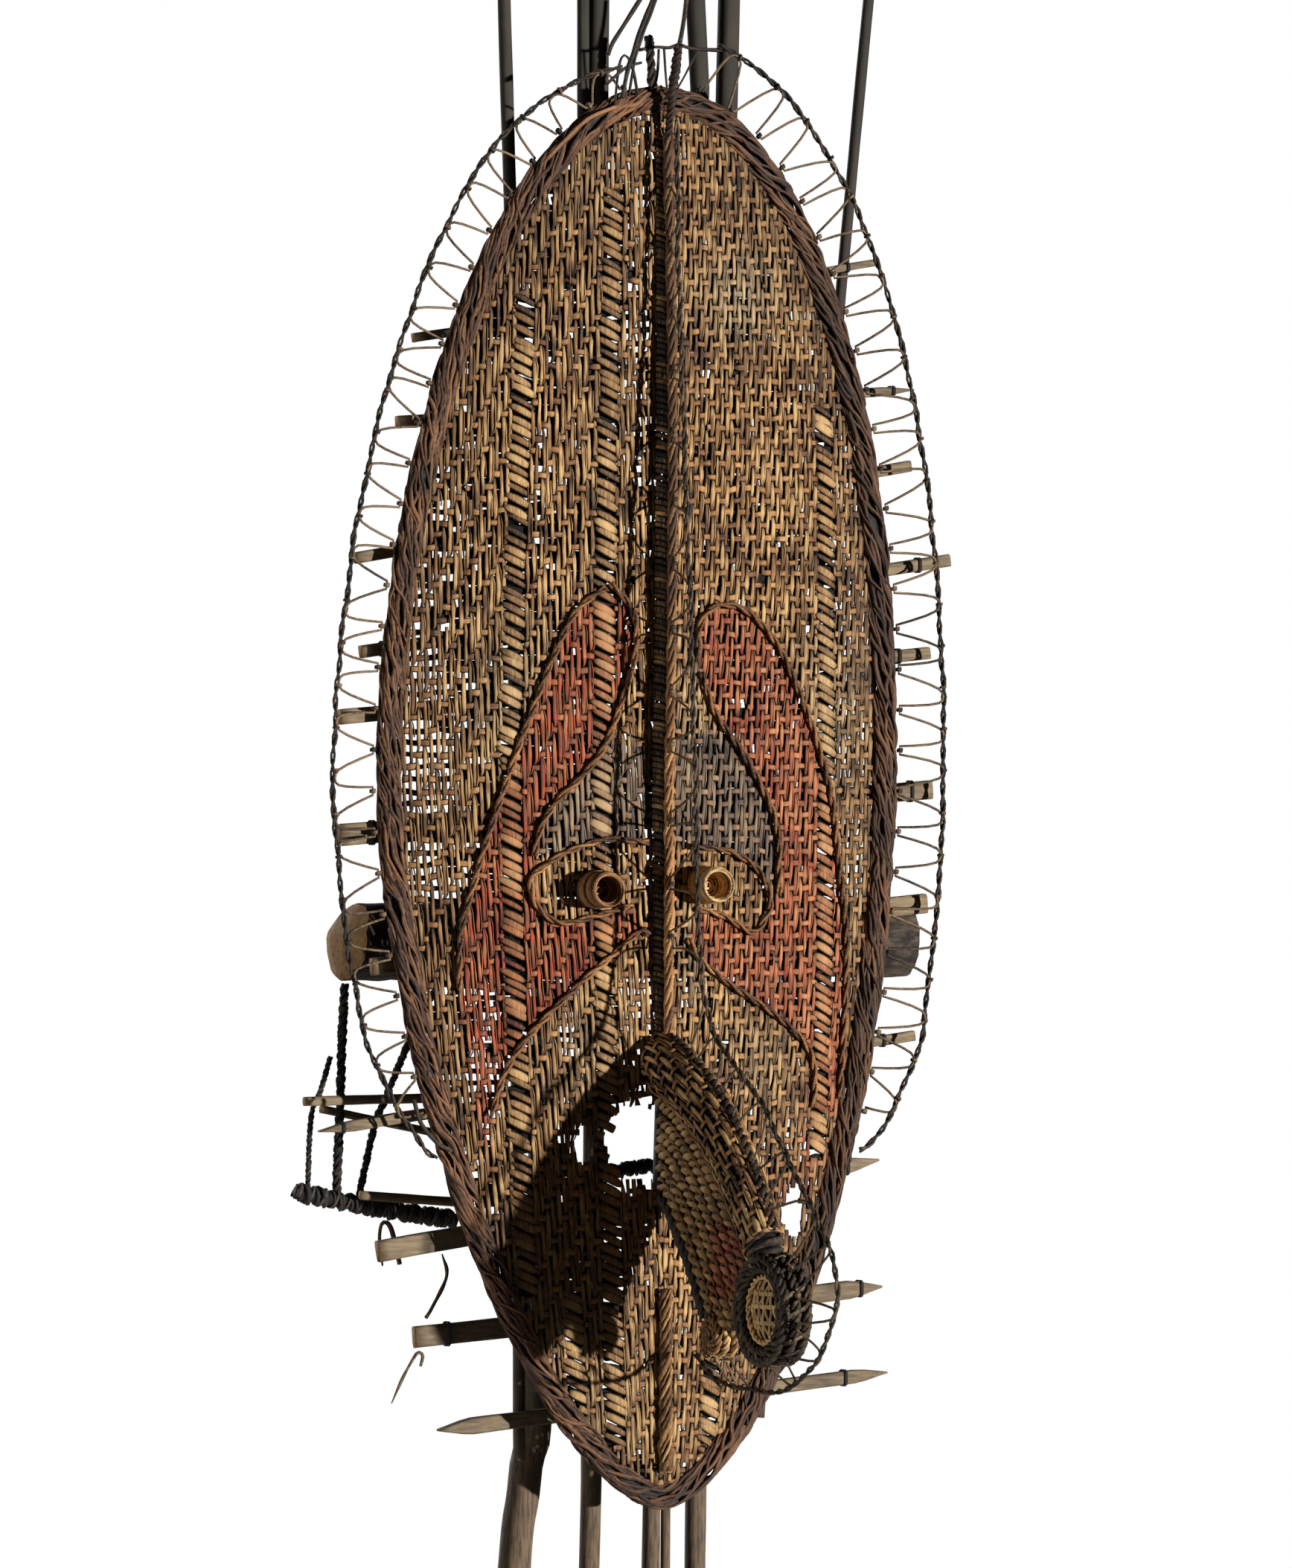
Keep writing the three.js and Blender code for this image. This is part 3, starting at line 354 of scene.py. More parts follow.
class Basketry:
    """One piece's strands, gathered before its mesh is made. Its attributes are tone, each strand's own shade
    from 0 to 1, light, 1 on a strand's crown and less in the crevices beside it, and pigment."""

    def __init__(self, name):
        """An empty piece, with its name and no points."""
        self.name = name
        self.points, self.faces, self.tone, self.light, self.skin = [], [], [], [], []
        self.count = 0

    def add(self, points, faces, skins, tone, light):
        """Adds only the points that a face uses."""
        used = np.zeros(len(points), bool)
        for group in faces:
            used[group.ravel()] = True
        renamed = np.cumsum(used) - 1 + self.count
        self.points.append(points[used])
        self.tone.append(tone[used])
        self.light.append(light[used])
        for group, skin in zip(faces, skins):
            self.faces.append(renamed[group])
            self.skin.append(np.full(len(group), skin))
        self.count += int(used.sum())

    def strands(self, paths, outward, half_width, half_depth, section=ROUND, keep=True, tone=None, light=1.0,
                skin=0, cut_skin=0, seed=0):
        """Strands carried along paths: path + across w a + out d b for each corner (a, b) of the section.
        Where keep is false a strand is broken off, and every run that is left has its two ends closed."""
        paths = np.asarray(paths, float)
        paths = paths[None] if paths.ndim == 2 else paths
        shape = strands, stations = paths.shape[:2]
        across, out = axes_along(paths, outward)
        reach = np.stack([np.broadcast_to(half_width, shape), np.broadcast_to(half_depth, shape)], -1)
        corners = np.asarray(section) * reach[:, :, None]
        points = (paths[:, :, None] + across[:, :, None] * corners[..., :1]
                  + out[:, :, None] * corners[..., 1:])
        k = points.shape[2]
        keep = np.broadcast_to(keep, shape)
        cell = keep[:, :-1] & keep[:, 1:]
        none = np.zeros((strands, 1), bool)
        starts = cell & ~np.hstack([none, cell[:, :-1]])
        stops = cell & ~np.hstack([cell[:, 1:], none])
        ids = np.arange(strands * stations * k).reshape(strands, stations, k)
        turn = np.roll(ids, -1, 2)
        sides = np.stack([ids[:, :-1], turn[:, :-1], turn[:, 1:], ids[:, 1:]], -1)[cell].reshape(-1, 4)
        caps = [ids[:, :-1][starts][:, ::-1], ids[:, 1:][stops]]
        if tone is None:
            tone = np.random.default_rng(seed + self.count).uniform(0, 1, (strands, 1))
        tone = np.broadcast_to(tone, shape)[..., None] + np.zeros(k)
        crown = STRAP_LIGHT if k == len(STRAP) else np.ones(k)
        light = np.broadcast_to(light, shape)[..., None] * crown
        ends = cut_skin or skin
        self.add(points.reshape(-1, 3), [sides, *caps], [skin, ends, ends], tone.ravel(), light.ravel())

    def rope(self, path, outward, radius, count, pitch, seed, lumps=0.0, light=1.0, tone=None):
        """A twisted rope: count strands of radius s on a circle of radius l, where s = l sin(pi / count) and
        l + s is the rope's own radius."""
        lay = radius / (1 + math.sin(math.pi / count))
        lines, away = wound(path, outward, lay, lay, pitch, spread(count))
        thick = (radius - lay) * drift(lines, 1, lumps, 4, seed)
        self.strands(lines, away, thick, thick, tone=tone, light=light, seed=seed)

    def make(self, materials, slot, *nodes, paint=None):
        """Makes the mesh, in metres, and lets it ride on the frame in place of the nodes."""
        points = np.concatenate(self.points)
        corners = np.concatenate([group.ravel() for group in self.faces])
        sizes = np.concatenate([np.full(len(group), group.shape[1]) for group in self.faces])
        mesh = bpy.data.meshes.new(self.name)
        mesh.vertices.add(len(points))
        mesh.vertices.foreach_set("co", (points * MM).astype(np.float32).ravel())
        mesh.loops.add(len(corners))
        mesh.loops.foreach_set("vertex_index", corners.astype(np.int32))
        mesh.polygons.add(len(sizes))
        mesh.polygons.foreach_set("loop_start", (np.cumsum(sizes) - sizes).astype(np.int32))
        mesh.polygons.foreach_set("material_index", np.concatenate(self.skin).astype(np.int32))
        mesh.polygons.foreach_set("use_smooth", np.ones(len(sizes), bool))
        pigment = np.zeros((len(points), 4)) if paint is None else paint(points)
        for label, kind, field, value in (("tone", "FLOAT", "value", np.concatenate(self.tone)),
                                          ("light", "FLOAT", "value", np.concatenate(self.light)),
                                          ("pigment", "FLOAT_COLOR", "color", pigment)):
            layer = mesh.attributes.new(label, kind, "POINT")
            layer.data.foreach_set(field, value.astype(np.float32).ravel())
        mesh.update(calc_edges=True)
        for material in materials:
            mesh.materials.append(material)
        piece = bpy.data.objects.new(self.name, mesh)
        bpy.context.scene.collection.objects.link(piece)
        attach(piece, "root")
        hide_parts(*nodes)


# Materials

def linear(colour):
    """An sRGB hex value as linear red, green and blue."""
    share = np.array([colour >> 16 & 255, colour >> 8 & 255, colour & 255]) / 255
    return np.where(share <= 0.04045, share / 12.92, ((share + 0.055) / 1.055) ** 2.4)


def blend(first, second, share):
    """From the first value to the second by a share."""
    return first * (1 - share) + second * share


def tinted(points, colour, amount):
    """Pigment of one colour, in an amount that may differ from point to point."""
    amount = np.broadcast_to(amount, len(points))[:, None]
    return np.hstack([np.tile(linear(colour), (len(points), 1)), amount])


def node(tree, kind, inputs=None, **settings):
    """Adds a shader node with its settings. Each input is given a value, or another node's output to link."""
    made = tree.nodes.new("ShaderNode" + kind)
    for name, value in settings.items():
        setattr(made, name, value)
    for name, value in (inputs or {}).items():
        if isinstance(value, bpy.types.NodeSocket):
            tree.links.new(value, made.inputs[name])
        else:
            made.inputs[name].default_value = value
    return made


CLOUDS_PER_METRE = 22.0
# The least share of its colour that painted crevice shade leaves
CREVICE_LIGHT = 0.04


def cane_finish(name, dark, middle, light, grain, stretch, roughness, bump):
    """Split and twined cane. Each strand has its own shade between three colours, long fibres along its run,
    patches of worn pigment, and painted shade in its crevices, from its light attribute. Grain and bump are
    in millimetres."""
    material = bpy.data.materials.new(name)
    material.use_nodes = True
    tree = material.node_tree
    tree.nodes.clear()

    def add(kind, result, inputs=None, **settings):
        """One of a new node's outputs."""
        return node(tree, kind, inputs, **settings).outputs[result]

    def plus(rest, value, share):
        """The rest, and a share of the value."""
        return add("Math", 0, {0: value, 1: share, 2: rest}, operation="MULTIPLY_ADD")

    place = add("TexCoord", "Object")
    along = add("Mapping", "Vector", {"Vector": place, "Scale": stretch})
    fibre = add("TexNoise", "Fac", {"Vector": along, "Scale": 1 / (grain * MM), "Detail": 3.0,
                                    "Roughness": 0.65})
    cloud = add("TexNoise", "Fac", {"Vector": place, "Scale": CLOUDS_PER_METRE, "Detail": 4.0})
    tone = add("Attribute", "Fac", attribute_name="tone")
    hollow = add("Attribute", "Fac", attribute_name="light")
    pigment = node(tree, "Attribute", attribute_name="pigment").outputs
    shade = plus(plus(plus(-0.5, tone, 0.55), fibre, 0.9), cloud, 0.65)
    ramp = node(tree, "ValToRGB", {"Fac": shade})
    for number, position, colour in ((0, 0.2, dark), (1, 0.85, light)):
        ramp.color_ramp.elements[number].position = position
        ramp.color_ramp.elements[number].color = (*linear(colour), 1.0)
    ramp.color_ramp.elements.new(0.5).color = (*linear(middle), 1.0)
    wear = add("MapRange", 0, {"Value": fibre, "From Min": 0.36, "From Max": 0.56, "To Min": 0.3})
    amount = add("Math", 0, {0: pigment["Alpha"], 1: wear}, operation="MULTIPLY")
    shaded = add("VectorMath", 0, {0: pigment["Color"], "Scale": plus(0.55, shade, 0.9)}, operation="SCALE")
    painted = add("Mix", 2, {0: amount, 6: ramp.outputs["Color"], 7: shaded}, data_type="RGBA")
    # Painted shade: colours darken where the light attribute is low, in crevices and under crossings
    crevice_shade = add("MapRange", 0, {"Value": hollow, "From Min": 0.25, "From Max": 0.95, "To Min": CREVICE_LIGHT})
    crevice_shaded = add("VectorMath", 0, {0: painted, "Scale": crevice_shade}, operation="SCALE")
    relief = add("Bump", "Normal", {"Height": fibre, "Distance": bump * MM, "Strength": 0.8})
    shader = add("BsdfPrincipled", 0, {"Base Color": crevice_shaded, "Roughness": roughness, "IOR": 1.45,
                                       "Normal": relief})
    node(tree, "OutputMaterial", {"Surface": shader})
    return material


ALONG_Z = (1.0, 1.0, 0.12)
ALONG_X = (0.12, 1.0, 1.0)
EVERY_WAY = (0.5, 0.5, 0.5)

# Split cane, scraped flat: dry and matt, straw to brown, with pale worn ridges along each strip
STAKE_CANE = cane_finish("split_cane_stakes", 0x2A190E, 0x876038, 0xD0A870, 1.6, ALONG_Z, 0.78, 0.35)
# Cane with its skin left on: rounder and a little browner and smoother than the scraped strips
WEFT_CANE = cane_finish("skinned_cane_wefts", 0x311D10, 0x855830, 0xC08E58, 1.6, ALONG_X, 0.7, 0.3)
# The same cane browned by smoke and hands: red-brown. The black between its strands is painted shade on its
# core
RIM_CANE = cane_finish("smoke_browned_cane", 0x150C07, 0x58371F, 0xA27048, 1.8, EVERY_WAY, 0.72, 0.35)
# Vine blackened by smoke: nearly black, with grey-brown wear on its bends
DARK_VINE = cane_finish("blackened_vine", 0x0F0B08, 0x35281B, 0x7E674C, 1.8, EVERY_WAY, 0.75, 0.3)
# Backing strands painted near black: painted shade for the depth of the weave behind its gaps
SHADED_CANE = cane_finish("painted_shade_lining", 0x050302, 0x0B0705, 0x140D09, 2.0, EVERY_WAY, 0.9, 0.2)
# Twisted bark-fibre cord, tarred with soot: black, hairy, with dull brown high spots
CORD = cane_finish("sooted_bark_cord", 0x0E0C0B, 0x241E1A, 0x4A3F33, 1.2, EVERY_WAY, 0.85, 0.4)
# Barked saplings weathered grey: long grain, dull
POLE_WOOD = cane_finish("weathered_sapling", 0x17140F, 0x352D23, 0x594D3B, 3.0, ALONG_Z, 0.8, 0.4)
LATH_WOOD = cane_finish("weathered_split_lath", 0x3A2F24, 0x6F5E48, 0x9A8464, 3.0, ALONG_X, 0.8, 0.4)
# Sawn or chopped end grain: paler and warmer than the weathered sides
CUT_WOOD = cane_finish("cut_end_grain", 0x5A4128, 0x8F6A42, 0xB98F5E, 2.0, EVERY_WAY, 0.85, 0.3)
# Charred bark on the log: black with pale flakes
BARK = cane_finish("smoked_log_bark", 0x0D0B0A, 0x231D18, 0x6B5B49, 7.0, (0.35, 1.0, 1.0), 0.85, 1.2)

OCHRE_RED = 0xA8381F
WORN_RED = 0x683826
FADED_RED = 0x9A5A40
ASH_GREY = 0x5C5650
PALE_CLAY = 0xD2BC92
STRAW = 0xB58F58
# Straw paler than the cane, partly its own colour and partly painted light
STRAW_WITH_PAINTED_LIGHT = 0xECC488
SOOT = 0x2E2119
# Painted shade for the ridge's left flank
PAINTED_SHADE_BLACK = 0x070504
POLE_SOOT = 0x26221C
BARE_POLE = 0x7A6248


# Painted fields

# Canes laid on the face: pixels along each
BORDER_CANES = {
    "cane_brow_left_outer": [[813, 790], [775, 821], [746, 878], [712, 964], [689, 1027], [654, 1131],
                             [637, 1188], [620, 1251], [617, 1331]],
    "cane_brow_left_inner": [[820, 784], [850, 820], [855, 866], [844, 918], [815, 998], [786, 1039],
                             [752, 1073], [729, 1108], [718, 1150]],
    "cane_cheek_left": [[872, 1257], [861, 1251], [821, 1286], [775, 1326], [735, 1366], [700, 1406],
                        [677, 1446], [660, 1500]],
    "cane_brow_right_outer": [[937, 889], [940, 843], [955, 819], [979, 813], [1009, 825], [1045, 867],
                              [1075, 933], [1099, 999], [1119, 1082], [1128, 1166], [1137, 1249],
                              [1137, 1321], [1134, 1387], [1128, 1476]],
    "cane_brow_right_inner": [[942, 903], [961, 957], [997, 1010], [1027, 1064], [1045, 1118], [1047, 1200]],
    "cane_cheek_right": [[925, 1262], [943, 1290], [979, 1321], [1033, 1357], [1069, 1387], [1090, 1416],
                         [1095, 1452], [1093, 1488]],
    "cane_eye_left": [[872, 1132], [816, 1128], [760, 1146], [730, 1166], [714, 1180], [718, 1210],
                      [736, 1232], [760, 1240], [805, 1230], [850, 1216]],
    "cane_eye_right": [[929, 1137], [975, 1143], [1010, 1160], [1028, 1184], [1036, 1214], [1026, 1239],
                       [1010, 1253], [975, 1232], [938, 1221]],
}

# Each field is bounded by its own canes and a few more places between them
LEFT_BROW, LEFT_EYE = BORDER_CANES["cane_brow_left_inner"], BORDER_CANES["cane_eye_left"]
RIGHT_BROW, RIGHT_EYE = BORDER_CANES["cane_brow_right_inner"], BORDER_CANES["cane_eye_right"]
RED_LEFT = (BORDER_CANES["cane_brow_left_outer"] + [[625, 1420], [640, 1500], [655, 1560]]
            + BORDER_CANES["cane_cheek_left"][::-1] + LEFT_EYE[:4:-1] + LEFT_BROW[::-1])
RED_RIGHT = (BORDER_CANES["cane_brow_right_outer"] + [[1120, 1500]] + BORDER_CANES["cane_cheek_right"][::-1]
             + RIGHT_EYE[:3:-1] + RIGHT_BROW[::-1])
GREY_LEFT = [[885, 1000], *LEFT_BROW[4:], *LEFT_EYE[2::-1], [895, 1132], [895, 1010]]
GREY_RIGHT = [[905, 1000], [961, 980], *RIGHT_BROW[2:5], [1047, 1190], *RIGHT_EYE[3::-1], [905, 1130]]

# Each field's outline, fresh and worn colour, and amount of pigment
FIELDS = ((RED_LEFT, OCHRE_RED, WORN_RED, 0.92), (RED_RIGHT, OCHRE_RED, FADED_RED, 0.76),
          (GREY_LEFT, ASH_GREY, ASH_GREY, 0.8), (GREY_RIGHT, ASH_GREY, ASH_GREY, 0.8))

# Soft patches: centre, half width and half height in pixels, colour, strength
PATCHES = [
    ((690, 940), 70, 150, PALE_CLAY, 0.5), ((1110, 950), 60, 160, PALE_CLAY, 0.5),
    ((990, 400), 60, 70, PALE_CLAY, 0.7), ((930, 950), 40, 120, PALE_CLAY, 0.55),
    ((790, 1420), 80, 90, PALE_CLAY, 0.45), ((1020, 1430), 70, 70, PALE_CLAY, 0.5),
    ((830, 1880), 80, 110, PALE_CLAY, 0.25), ((790, 1190), 70, 45, STRAW, 0.5),
    ((985, 1190), 55, 40, STRAW, 0.6), ((930, 1270), 25, 90, PALE_CLAY, 0.6),
    ((810, 620), 30, 420, PALE_CLAY, 0.3), ((1088, 1535), 26, 55, OCHRE_RED, 0.6),
    ((1052, 1600), 34, 24, OCHRE_RED, 0.5),
]


def enclosed(outer, x, z):
    """Even-odd rule: how many sides of the outline a line to the right crosses."""
    crossed = np.zeros(np.shape(x), bool)
    for (x1, z1), (x2, z2) in zip(outer, np.roll(outer, -1, 0)):
        spans = (z1 > z) != (z2 > z)
        crossed ^= spans & (x < (x2 - x1) * (z - z1) / (z2 - z1 + 1e-9) + x1)
    return crossed


def closeness(x, z, centre, wide, tall):
    """1 at a patch's centre, falling off as exp of minus the squared distance in its own half sizes."""
    middle = on_face(centre)
    away = ((x - middle[0]) / (wide * MM_PER_PIXEL)) ** 2 + ((z - middle[2]) / (tall * MM_PER_PIXEL)) ** 2
    return np.exp(-away)


def face_pigment(points, strength=1.0):
    """Each point's pigment as linear colour and amount: soot towards the edges and the top, soft patches over
    it, and over both the fields inside the canes, fresh and worn in uneven upright streaks."""
    x, z = points[:, 0], points[:, 2]
    ragged = 2.5 * np.sin(0.9 * x + 0.37 * z)
    fresh = smoothly(0.5 + 0.5 * np.sin(0.95 * x + 2.5 * np.sin(0.07 * z)) + 0.3 * np.sin(0.19 * z))
    colour = np.tile(linear(SOOT), (len(points), 1))
    edge = np.clip(1 - (half_width_at(z) - RIM_WIDTH - np.abs(x)) / 70, 0, 1)
    amount = 0.5 * edge ** 1.5 + 0.3 * smoothly((z - 330) / 500)
    for centre, wide, tall, tint, most in PATCHES:
        share = most * closeness(x, z, centre, wide, tall)
        colour = blend(colour, linear(tint), share[:, None])
        amount = blend(amount, 1, share)
    for field, tint, worn, most in FIELDS:
        within = enclosed(on_face(field)[:, [0, 2]], x + ragged, z)
        colour[within] = blend(linear(worn), linear(tint), fresh[within, None])
        amount[within] = most
    return np.hstack([colour, amount[:, None] * strength])


# The woven face

# The two strips of a column: side, place beside its middle, share of the width, and how seldom it runs out
COLUMN_STRIPS = ((-1, -0.13, 1.28, -0.95), (1, 0.36, 0.42, -0.1))


def weave(surface, columns, rows, period, hand, stakes, wefts, stake_width, weft_width, swing, keep, seed,
          open_at=None):
    """Twill: the weft of row r passes over column c where r + hand c is a whole number of periods, and behind
    the others. Each column is a broad strip and a thin one that often runs out, pinched together where the
    weft passes over them. A strip stands at swing (2 s - 1), where s goes smoothly from 0 at that weft to 1 a
    row away, and a weft the other way round. surface(c, r) gives the place and the outward direction, in
    columns and rows."""
    row = np.arange(2 * rows + 1) / 2
    number = columns[:, None]
    away = (row + hand * number) % period
    free = smoothly(np.minimum(away, period - away) / 0.85)
    strips = free[..., None]
    column_drift = drift(strips, 0, 0.16, 12, seed)
    for side, beside, share, least in COLUMN_STRIPS:
        c = (number + 0.5 + beside * (0.3 + 0.7 * free) + 0.34 * (away / period - 0.5) * hand
             + column_drift + drift(strips, 0, 0.07, 3, seed + 10 + side))
        place, out = surface(c, row + drift(strips, 0, 0.1, 5, seed + 4))
        height = swing * (2 * free - 1) + free * drift(strips, 0, 0.8, 2, seed + 20 + side)
        place = place + out * height[..., None]
        part = 1 if open_at is None else 1 - 0.15 * open_at(place)
        width = stake_width * share * (0.45 + 0.55 * free) * part
        width = width * drift(strips, 1, 0.28, 2, seed + 30 + side)
        whole = keep(place) & (drift(strips, 0, 1, 7, seed + 40 + side) > least)
        # Painted shade: a strip darkens where it passes under a weft
        stakes.strands(place, out, width, 1.0, STRAP, whole, drift(strips, 0.5, 0.5, 3, seed + 50 + side),
                       0.15 + 0.85 * free)
    across = columns[0] + np.arange(2 * len(columns) + 1) / 2
    number = np.arange(rows + 1)[:, None]
    away = (number + hand * (across - 0.5)) % period
    over = 1 - smoothly((np.minimum(away, period - away) - 0.3) / 0.9)
    strips = over[..., None]
    r = number + drift(strips, 0, 0.13, 6, seed + 60) + drift(strips, 0, 0.06, 2, seed + 61)
    place, out = surface(across + 0 * r, r)
    place = place + out * (swing * (2 * over - 1))[..., None]
    width = weft_width * (0.75 + 0.25 * over) * drift(strips, 1, 0.15, 3, seed + 62)
    whole = keep(place) & (drift(strips, 0, 1, 8, seed + 64) < 0.97)
    # Painted shade: a weft darkens where it passes behind the strips
    wefts.strands(place, out, width, 0.9, STRAP, whole, drift(strips, 0.5, 0.5, 3, seed + 63),
                  0.25 + 0.75 * over)


def face_surface(c, r):
    """Columns spread evenly, drawn in by a quarter where the mask narrows; rows fall by the weft pitch."""
    z = WEAVE_TOP - r * WEFT_PITCH
    x = drawn_in(c / COLUMNS * INNER_HALF_WIDTH, z)
    return np.stack([x, face_y(x, z), z + 0 * x], -1), np.broadcast_to(FRONT, x.shape + (3,))


def drawn_in(x, z):
    """A place across the face, drawn in by up to a quarter where the mask narrows."""
    return x * (0.75 + 0.25 * (half_width_at(z) - RIM_WIDTH) / INNER_HALF_WIDTH)


# Torn holes: centre in pixels, half width and half height in millimetres
HOLES = [((855, 1536), 28, 37), ((1064, 1630), 11, 20), ((784, 1540), 8, 13)]
# Ribs: place across at the widest line, top and foot
RIBS = [(-58, 700, -470), (-147, 600, -330), (187, 500, -200), (-100, -330, -500), (60, -300, -480)]
RIB_HALF_WIDTH = 9
STRAP_PITCH = 9.4
STRAP_REACH = 26
STRAP_FALL = 13

# Where light comes through: centre, half width and half height in pixels, and how open
OPEN_PLACES = [((565, 1080), 45, 260, 0.9), ((1140, 1050), 50, 420, 0.5), ((850, 1330), 90, 80, 0.7),
               ((690, 1420), 70, 110, 0.55), ((856, 500), 26, 330, 0.4), ((1090, 1560), 60, 90, 0.7),
               ((900, 1880), 110, 90, 0.3), ((1103, 520), 26, 170, 0.3), ((830, 200), 60, 70, 0.4),
               ((714, 650), 18, 70, 0.6), ((590, 760), 22, 110, 0.35)]


def openness(place):
    """How open the weave is, 0 to 1: the most of several soft patches."""
    x, z = place[..., 0], place[..., 2]
    shares = [share * closeness(x, z, centre, wide, tall) for centre, wide, tall, share in OPEN_PLACES]
    return np.max(shares, axis=0)


def in_panel(place, under=5.0, grow=1.0):
    """True inside the rim and outside the torn holes, whose edges are ragged."""
    x, z = place[..., 0], place[..., 2]
    whole = within_rim(x, z, under)
    ragged = 0.22 * np.sin(1.3 * x) + 0.2 * np.sin(0.7 * z + x)
    for centre, wide, tall in HOLES:
        middle = on_face(centre)
        away = np.hypot((x - middle[0]) / wide, (z - middle[2]) / tall)
        whole = whole & (away > grow * (1 + ragged))
    return whole


def beside_ribs(place, margin=0.0):
    """True off the ribs, where the plain weave gives way to slanting straps, and off a margin round them."""
    x, z = place[..., 0], place[..., 2]
    clear = np.ones(x.shape, bool)
    for rib, top, foot in RIBS:
        beside = np.abs(x - drawn_in(rib, z)) > RIB_HALF_WIDTH + margin
        clear &= beside | (z > top + margin) | (z < foot - margin)
    return clear


def woven_face():
    """The face's two halves, whose twills slant apart from the middle."""
    left, right, wefts = (Basketry("face_" + part) for part in ("stakes_left", "stakes_right", "wefts"))
    keep = lambda place: in_panel(place) & beside_ribs(place)
    for half, first, period, hand, weft_width, seed in ((left, -COLUMNS, 4, 1, 3.4, 100),
                                                        (right, 0, 3, -1, 3.3, 200)):
        weave(face_surface, np.arange(first, first + COLUMNS), WEAVE_ROWS, period, hand, half, wefts,
              STAKE_HALF_WIDTH, weft_width, SWING, keep, seed, openness)
    for half in (left, right):
        half.make([STAKE_CANE], "face_cane", "face_panel", paint=face_pigment)
    wefts.make([WEFT_CANE], "face_cane", "face_panel", paint=lambda points: face_pigment(points, 0.72))


def face_lining():
    """Flat strands behind the gaps between wefts, painted near black as the shade within the weave, and left
    out at random where light comes through.
    """
    lining = Basketry("face_lining")
    rows = np.arange(WEAVE_ROWS)[:, None] + 0.5
    c = np.arange(-COLUMNS, COLUMNS + 1) + 0 * rows
    c = c + 0.45 * wander(*c.shape, 1, 8)
    place, out = face_surface(c, rows + 0.22 * wander(*c.shape, 2, 9))
    place = place - out * LINING_BEHIND
    chance = np.random.default_rng(7).uniform(0, 1, c.shape)
    lit_through = (0.03 + 1.15 * openness(place)) * beside_ribs(place, 9)
    keep = in_panel(place, 6, 1.25) & (chance > lit_through)
    lining.strands(place, out, 4.5, 0.5, STRAP, keep, 0.5)
    lining.make([SHADED_CANE], "face_cane", "face_panel")


def face_ribs():
    """Slanting straps laid one over the next down each rib: a strap runs from upper left to lower right and
    arches over the rib by sin of the way across."""
    ribs = Basketry("face_ribs")
    share = np.linspace(0, 1, 7)
    arch = np.sin(math.pi * share)
    full = np.sqrt(np.abs(arch))
    for number, (rib, top, foot) in enumerate(RIBS):
        level = np.arange(top, foot, -STRAP_PITCH)[:, None]
        jitter = np.random.default_rng(300 + number).normal(0, 1, (len(level), 3))
        z = level - STRAP_FALL * (share - 0.5) + 1.2 * jitter[:, :1]
        x = drawn_in(rib, z) + STRAP_REACH * (share - 0.5) + 1.4 * jitter[:, 1:2]
        place = np.stack([x, face_y(x, z) - 0.6 - 3.2 * arch + 2.0 * share, z], -1)
        width = 4.2 * (0.45 + 0.55 * full) * (1 + 0.14 * jitter[:, 2:])
        # Painted shade: each strap darkens towards its tucked ends
        ribs.strands(place, FRONT, width, 1.2, STRAP, in_panel(place, 2),
                     np.clip(0.5 + 0.2 * jitter[:, 2:], 0, 1), 0.3 + 0.7 * full)
    ribs.make([STAKE_CANE], "face_cane", "face_panel", paint=lambda points: face_pigment(points, 0.5))


# Rim and borders

def rim_path(out, step):
    """The whole outline, from the top down its right side and up its left."""
    half = outline(np.linspace(0, 1, 900), out)
    x = np.concatenate([half[:, 0], -half[::-1, 0]])
    z = np.concatenate([half[:, 1], half[::-1, 1]])
    return even_run(np.stack([x, rim_y(z), z], -1), step)


# The rim's layers: canes, length of a turn, reach as a share of the bundle, radius and seed
RIM_LAYERS = ((14, 330, 0.9, 2.0, 401), (8, 235, 0.99, 1.6, 411), (6, 165, 1.06, 1.3, 421))
BUNDLE_ACROSS = 11.2
BUNDLE_OUT = 7.4


def rim_soot(points):
    """Soot on the rim, heavier on the mask's left side and in slow patches."""
    patchy = 0.5 + 0.5 * np.sin(0.031 * points[:, 2] + 0.017 * points[:, 0])
    return tinted(points, SOOT, np.where(points[:, 0] > 0, 0.55, 0.2) + 0.25 * patchy)


def rim_bundle():
    """Canes laid up in three slow twists round a core painted black as the shade inside the bundle, each
    drifting about its own place in the bundle, with a leaf strip caught along the top left."""
    rim = Basketry("rim_bundle_canes")
    path = rim_path(-RIM_WIDTH / 2, 5)
    side, out = axes_along(path, FRONT)
    rim.strands(path, FRONT, 6.4, 3.4, ring_section(8), tone=0.0, light=0.0)
    for count, pitch, reach, radius, seed in RIM_LAYERS:
        canes = np.broadcast_to(path, (count, *path.shape))
        angle = (spread(count)[:, None] - 2 * math.pi * run_length(path) / pitch
                 + drift(canes, 0, 0.6, 9, seed) + drift(canes, 0, 0.3, 3, seed + 1))
        wide = reach * drift(canes, 1, 0.12, 5, seed + 2)
        lines = (path + side * (BUNDLE_ACROSS * wide * np.cos(angle))[..., None]
                 + out * (BUNDLE_OUT * wide * np.sin(angle))[..., None])
        thick = radius * drift(canes, 1, 0.4, 4, seed + 3)
        rim.strands(lines, lines - path, thick, thick, ROUND, drift(canes, 0, 1, 16, seed + 5) < 0.8,
                    drift(canes, 0.5, 0.5, 7, seed + 4), 0.8)
    leaf = smooth_run(at_depth([[735, 214], [758, 190], [790, 160], [828, 143]], rim_y(740) - 13), 5)
    rim.strands(leaf, FRONT, 2.4, 0.7, STRAP, tone=1.0)
    rim.make([RIM_CANE], "rim_cane", "rim_bundle", paint=rim_soot)


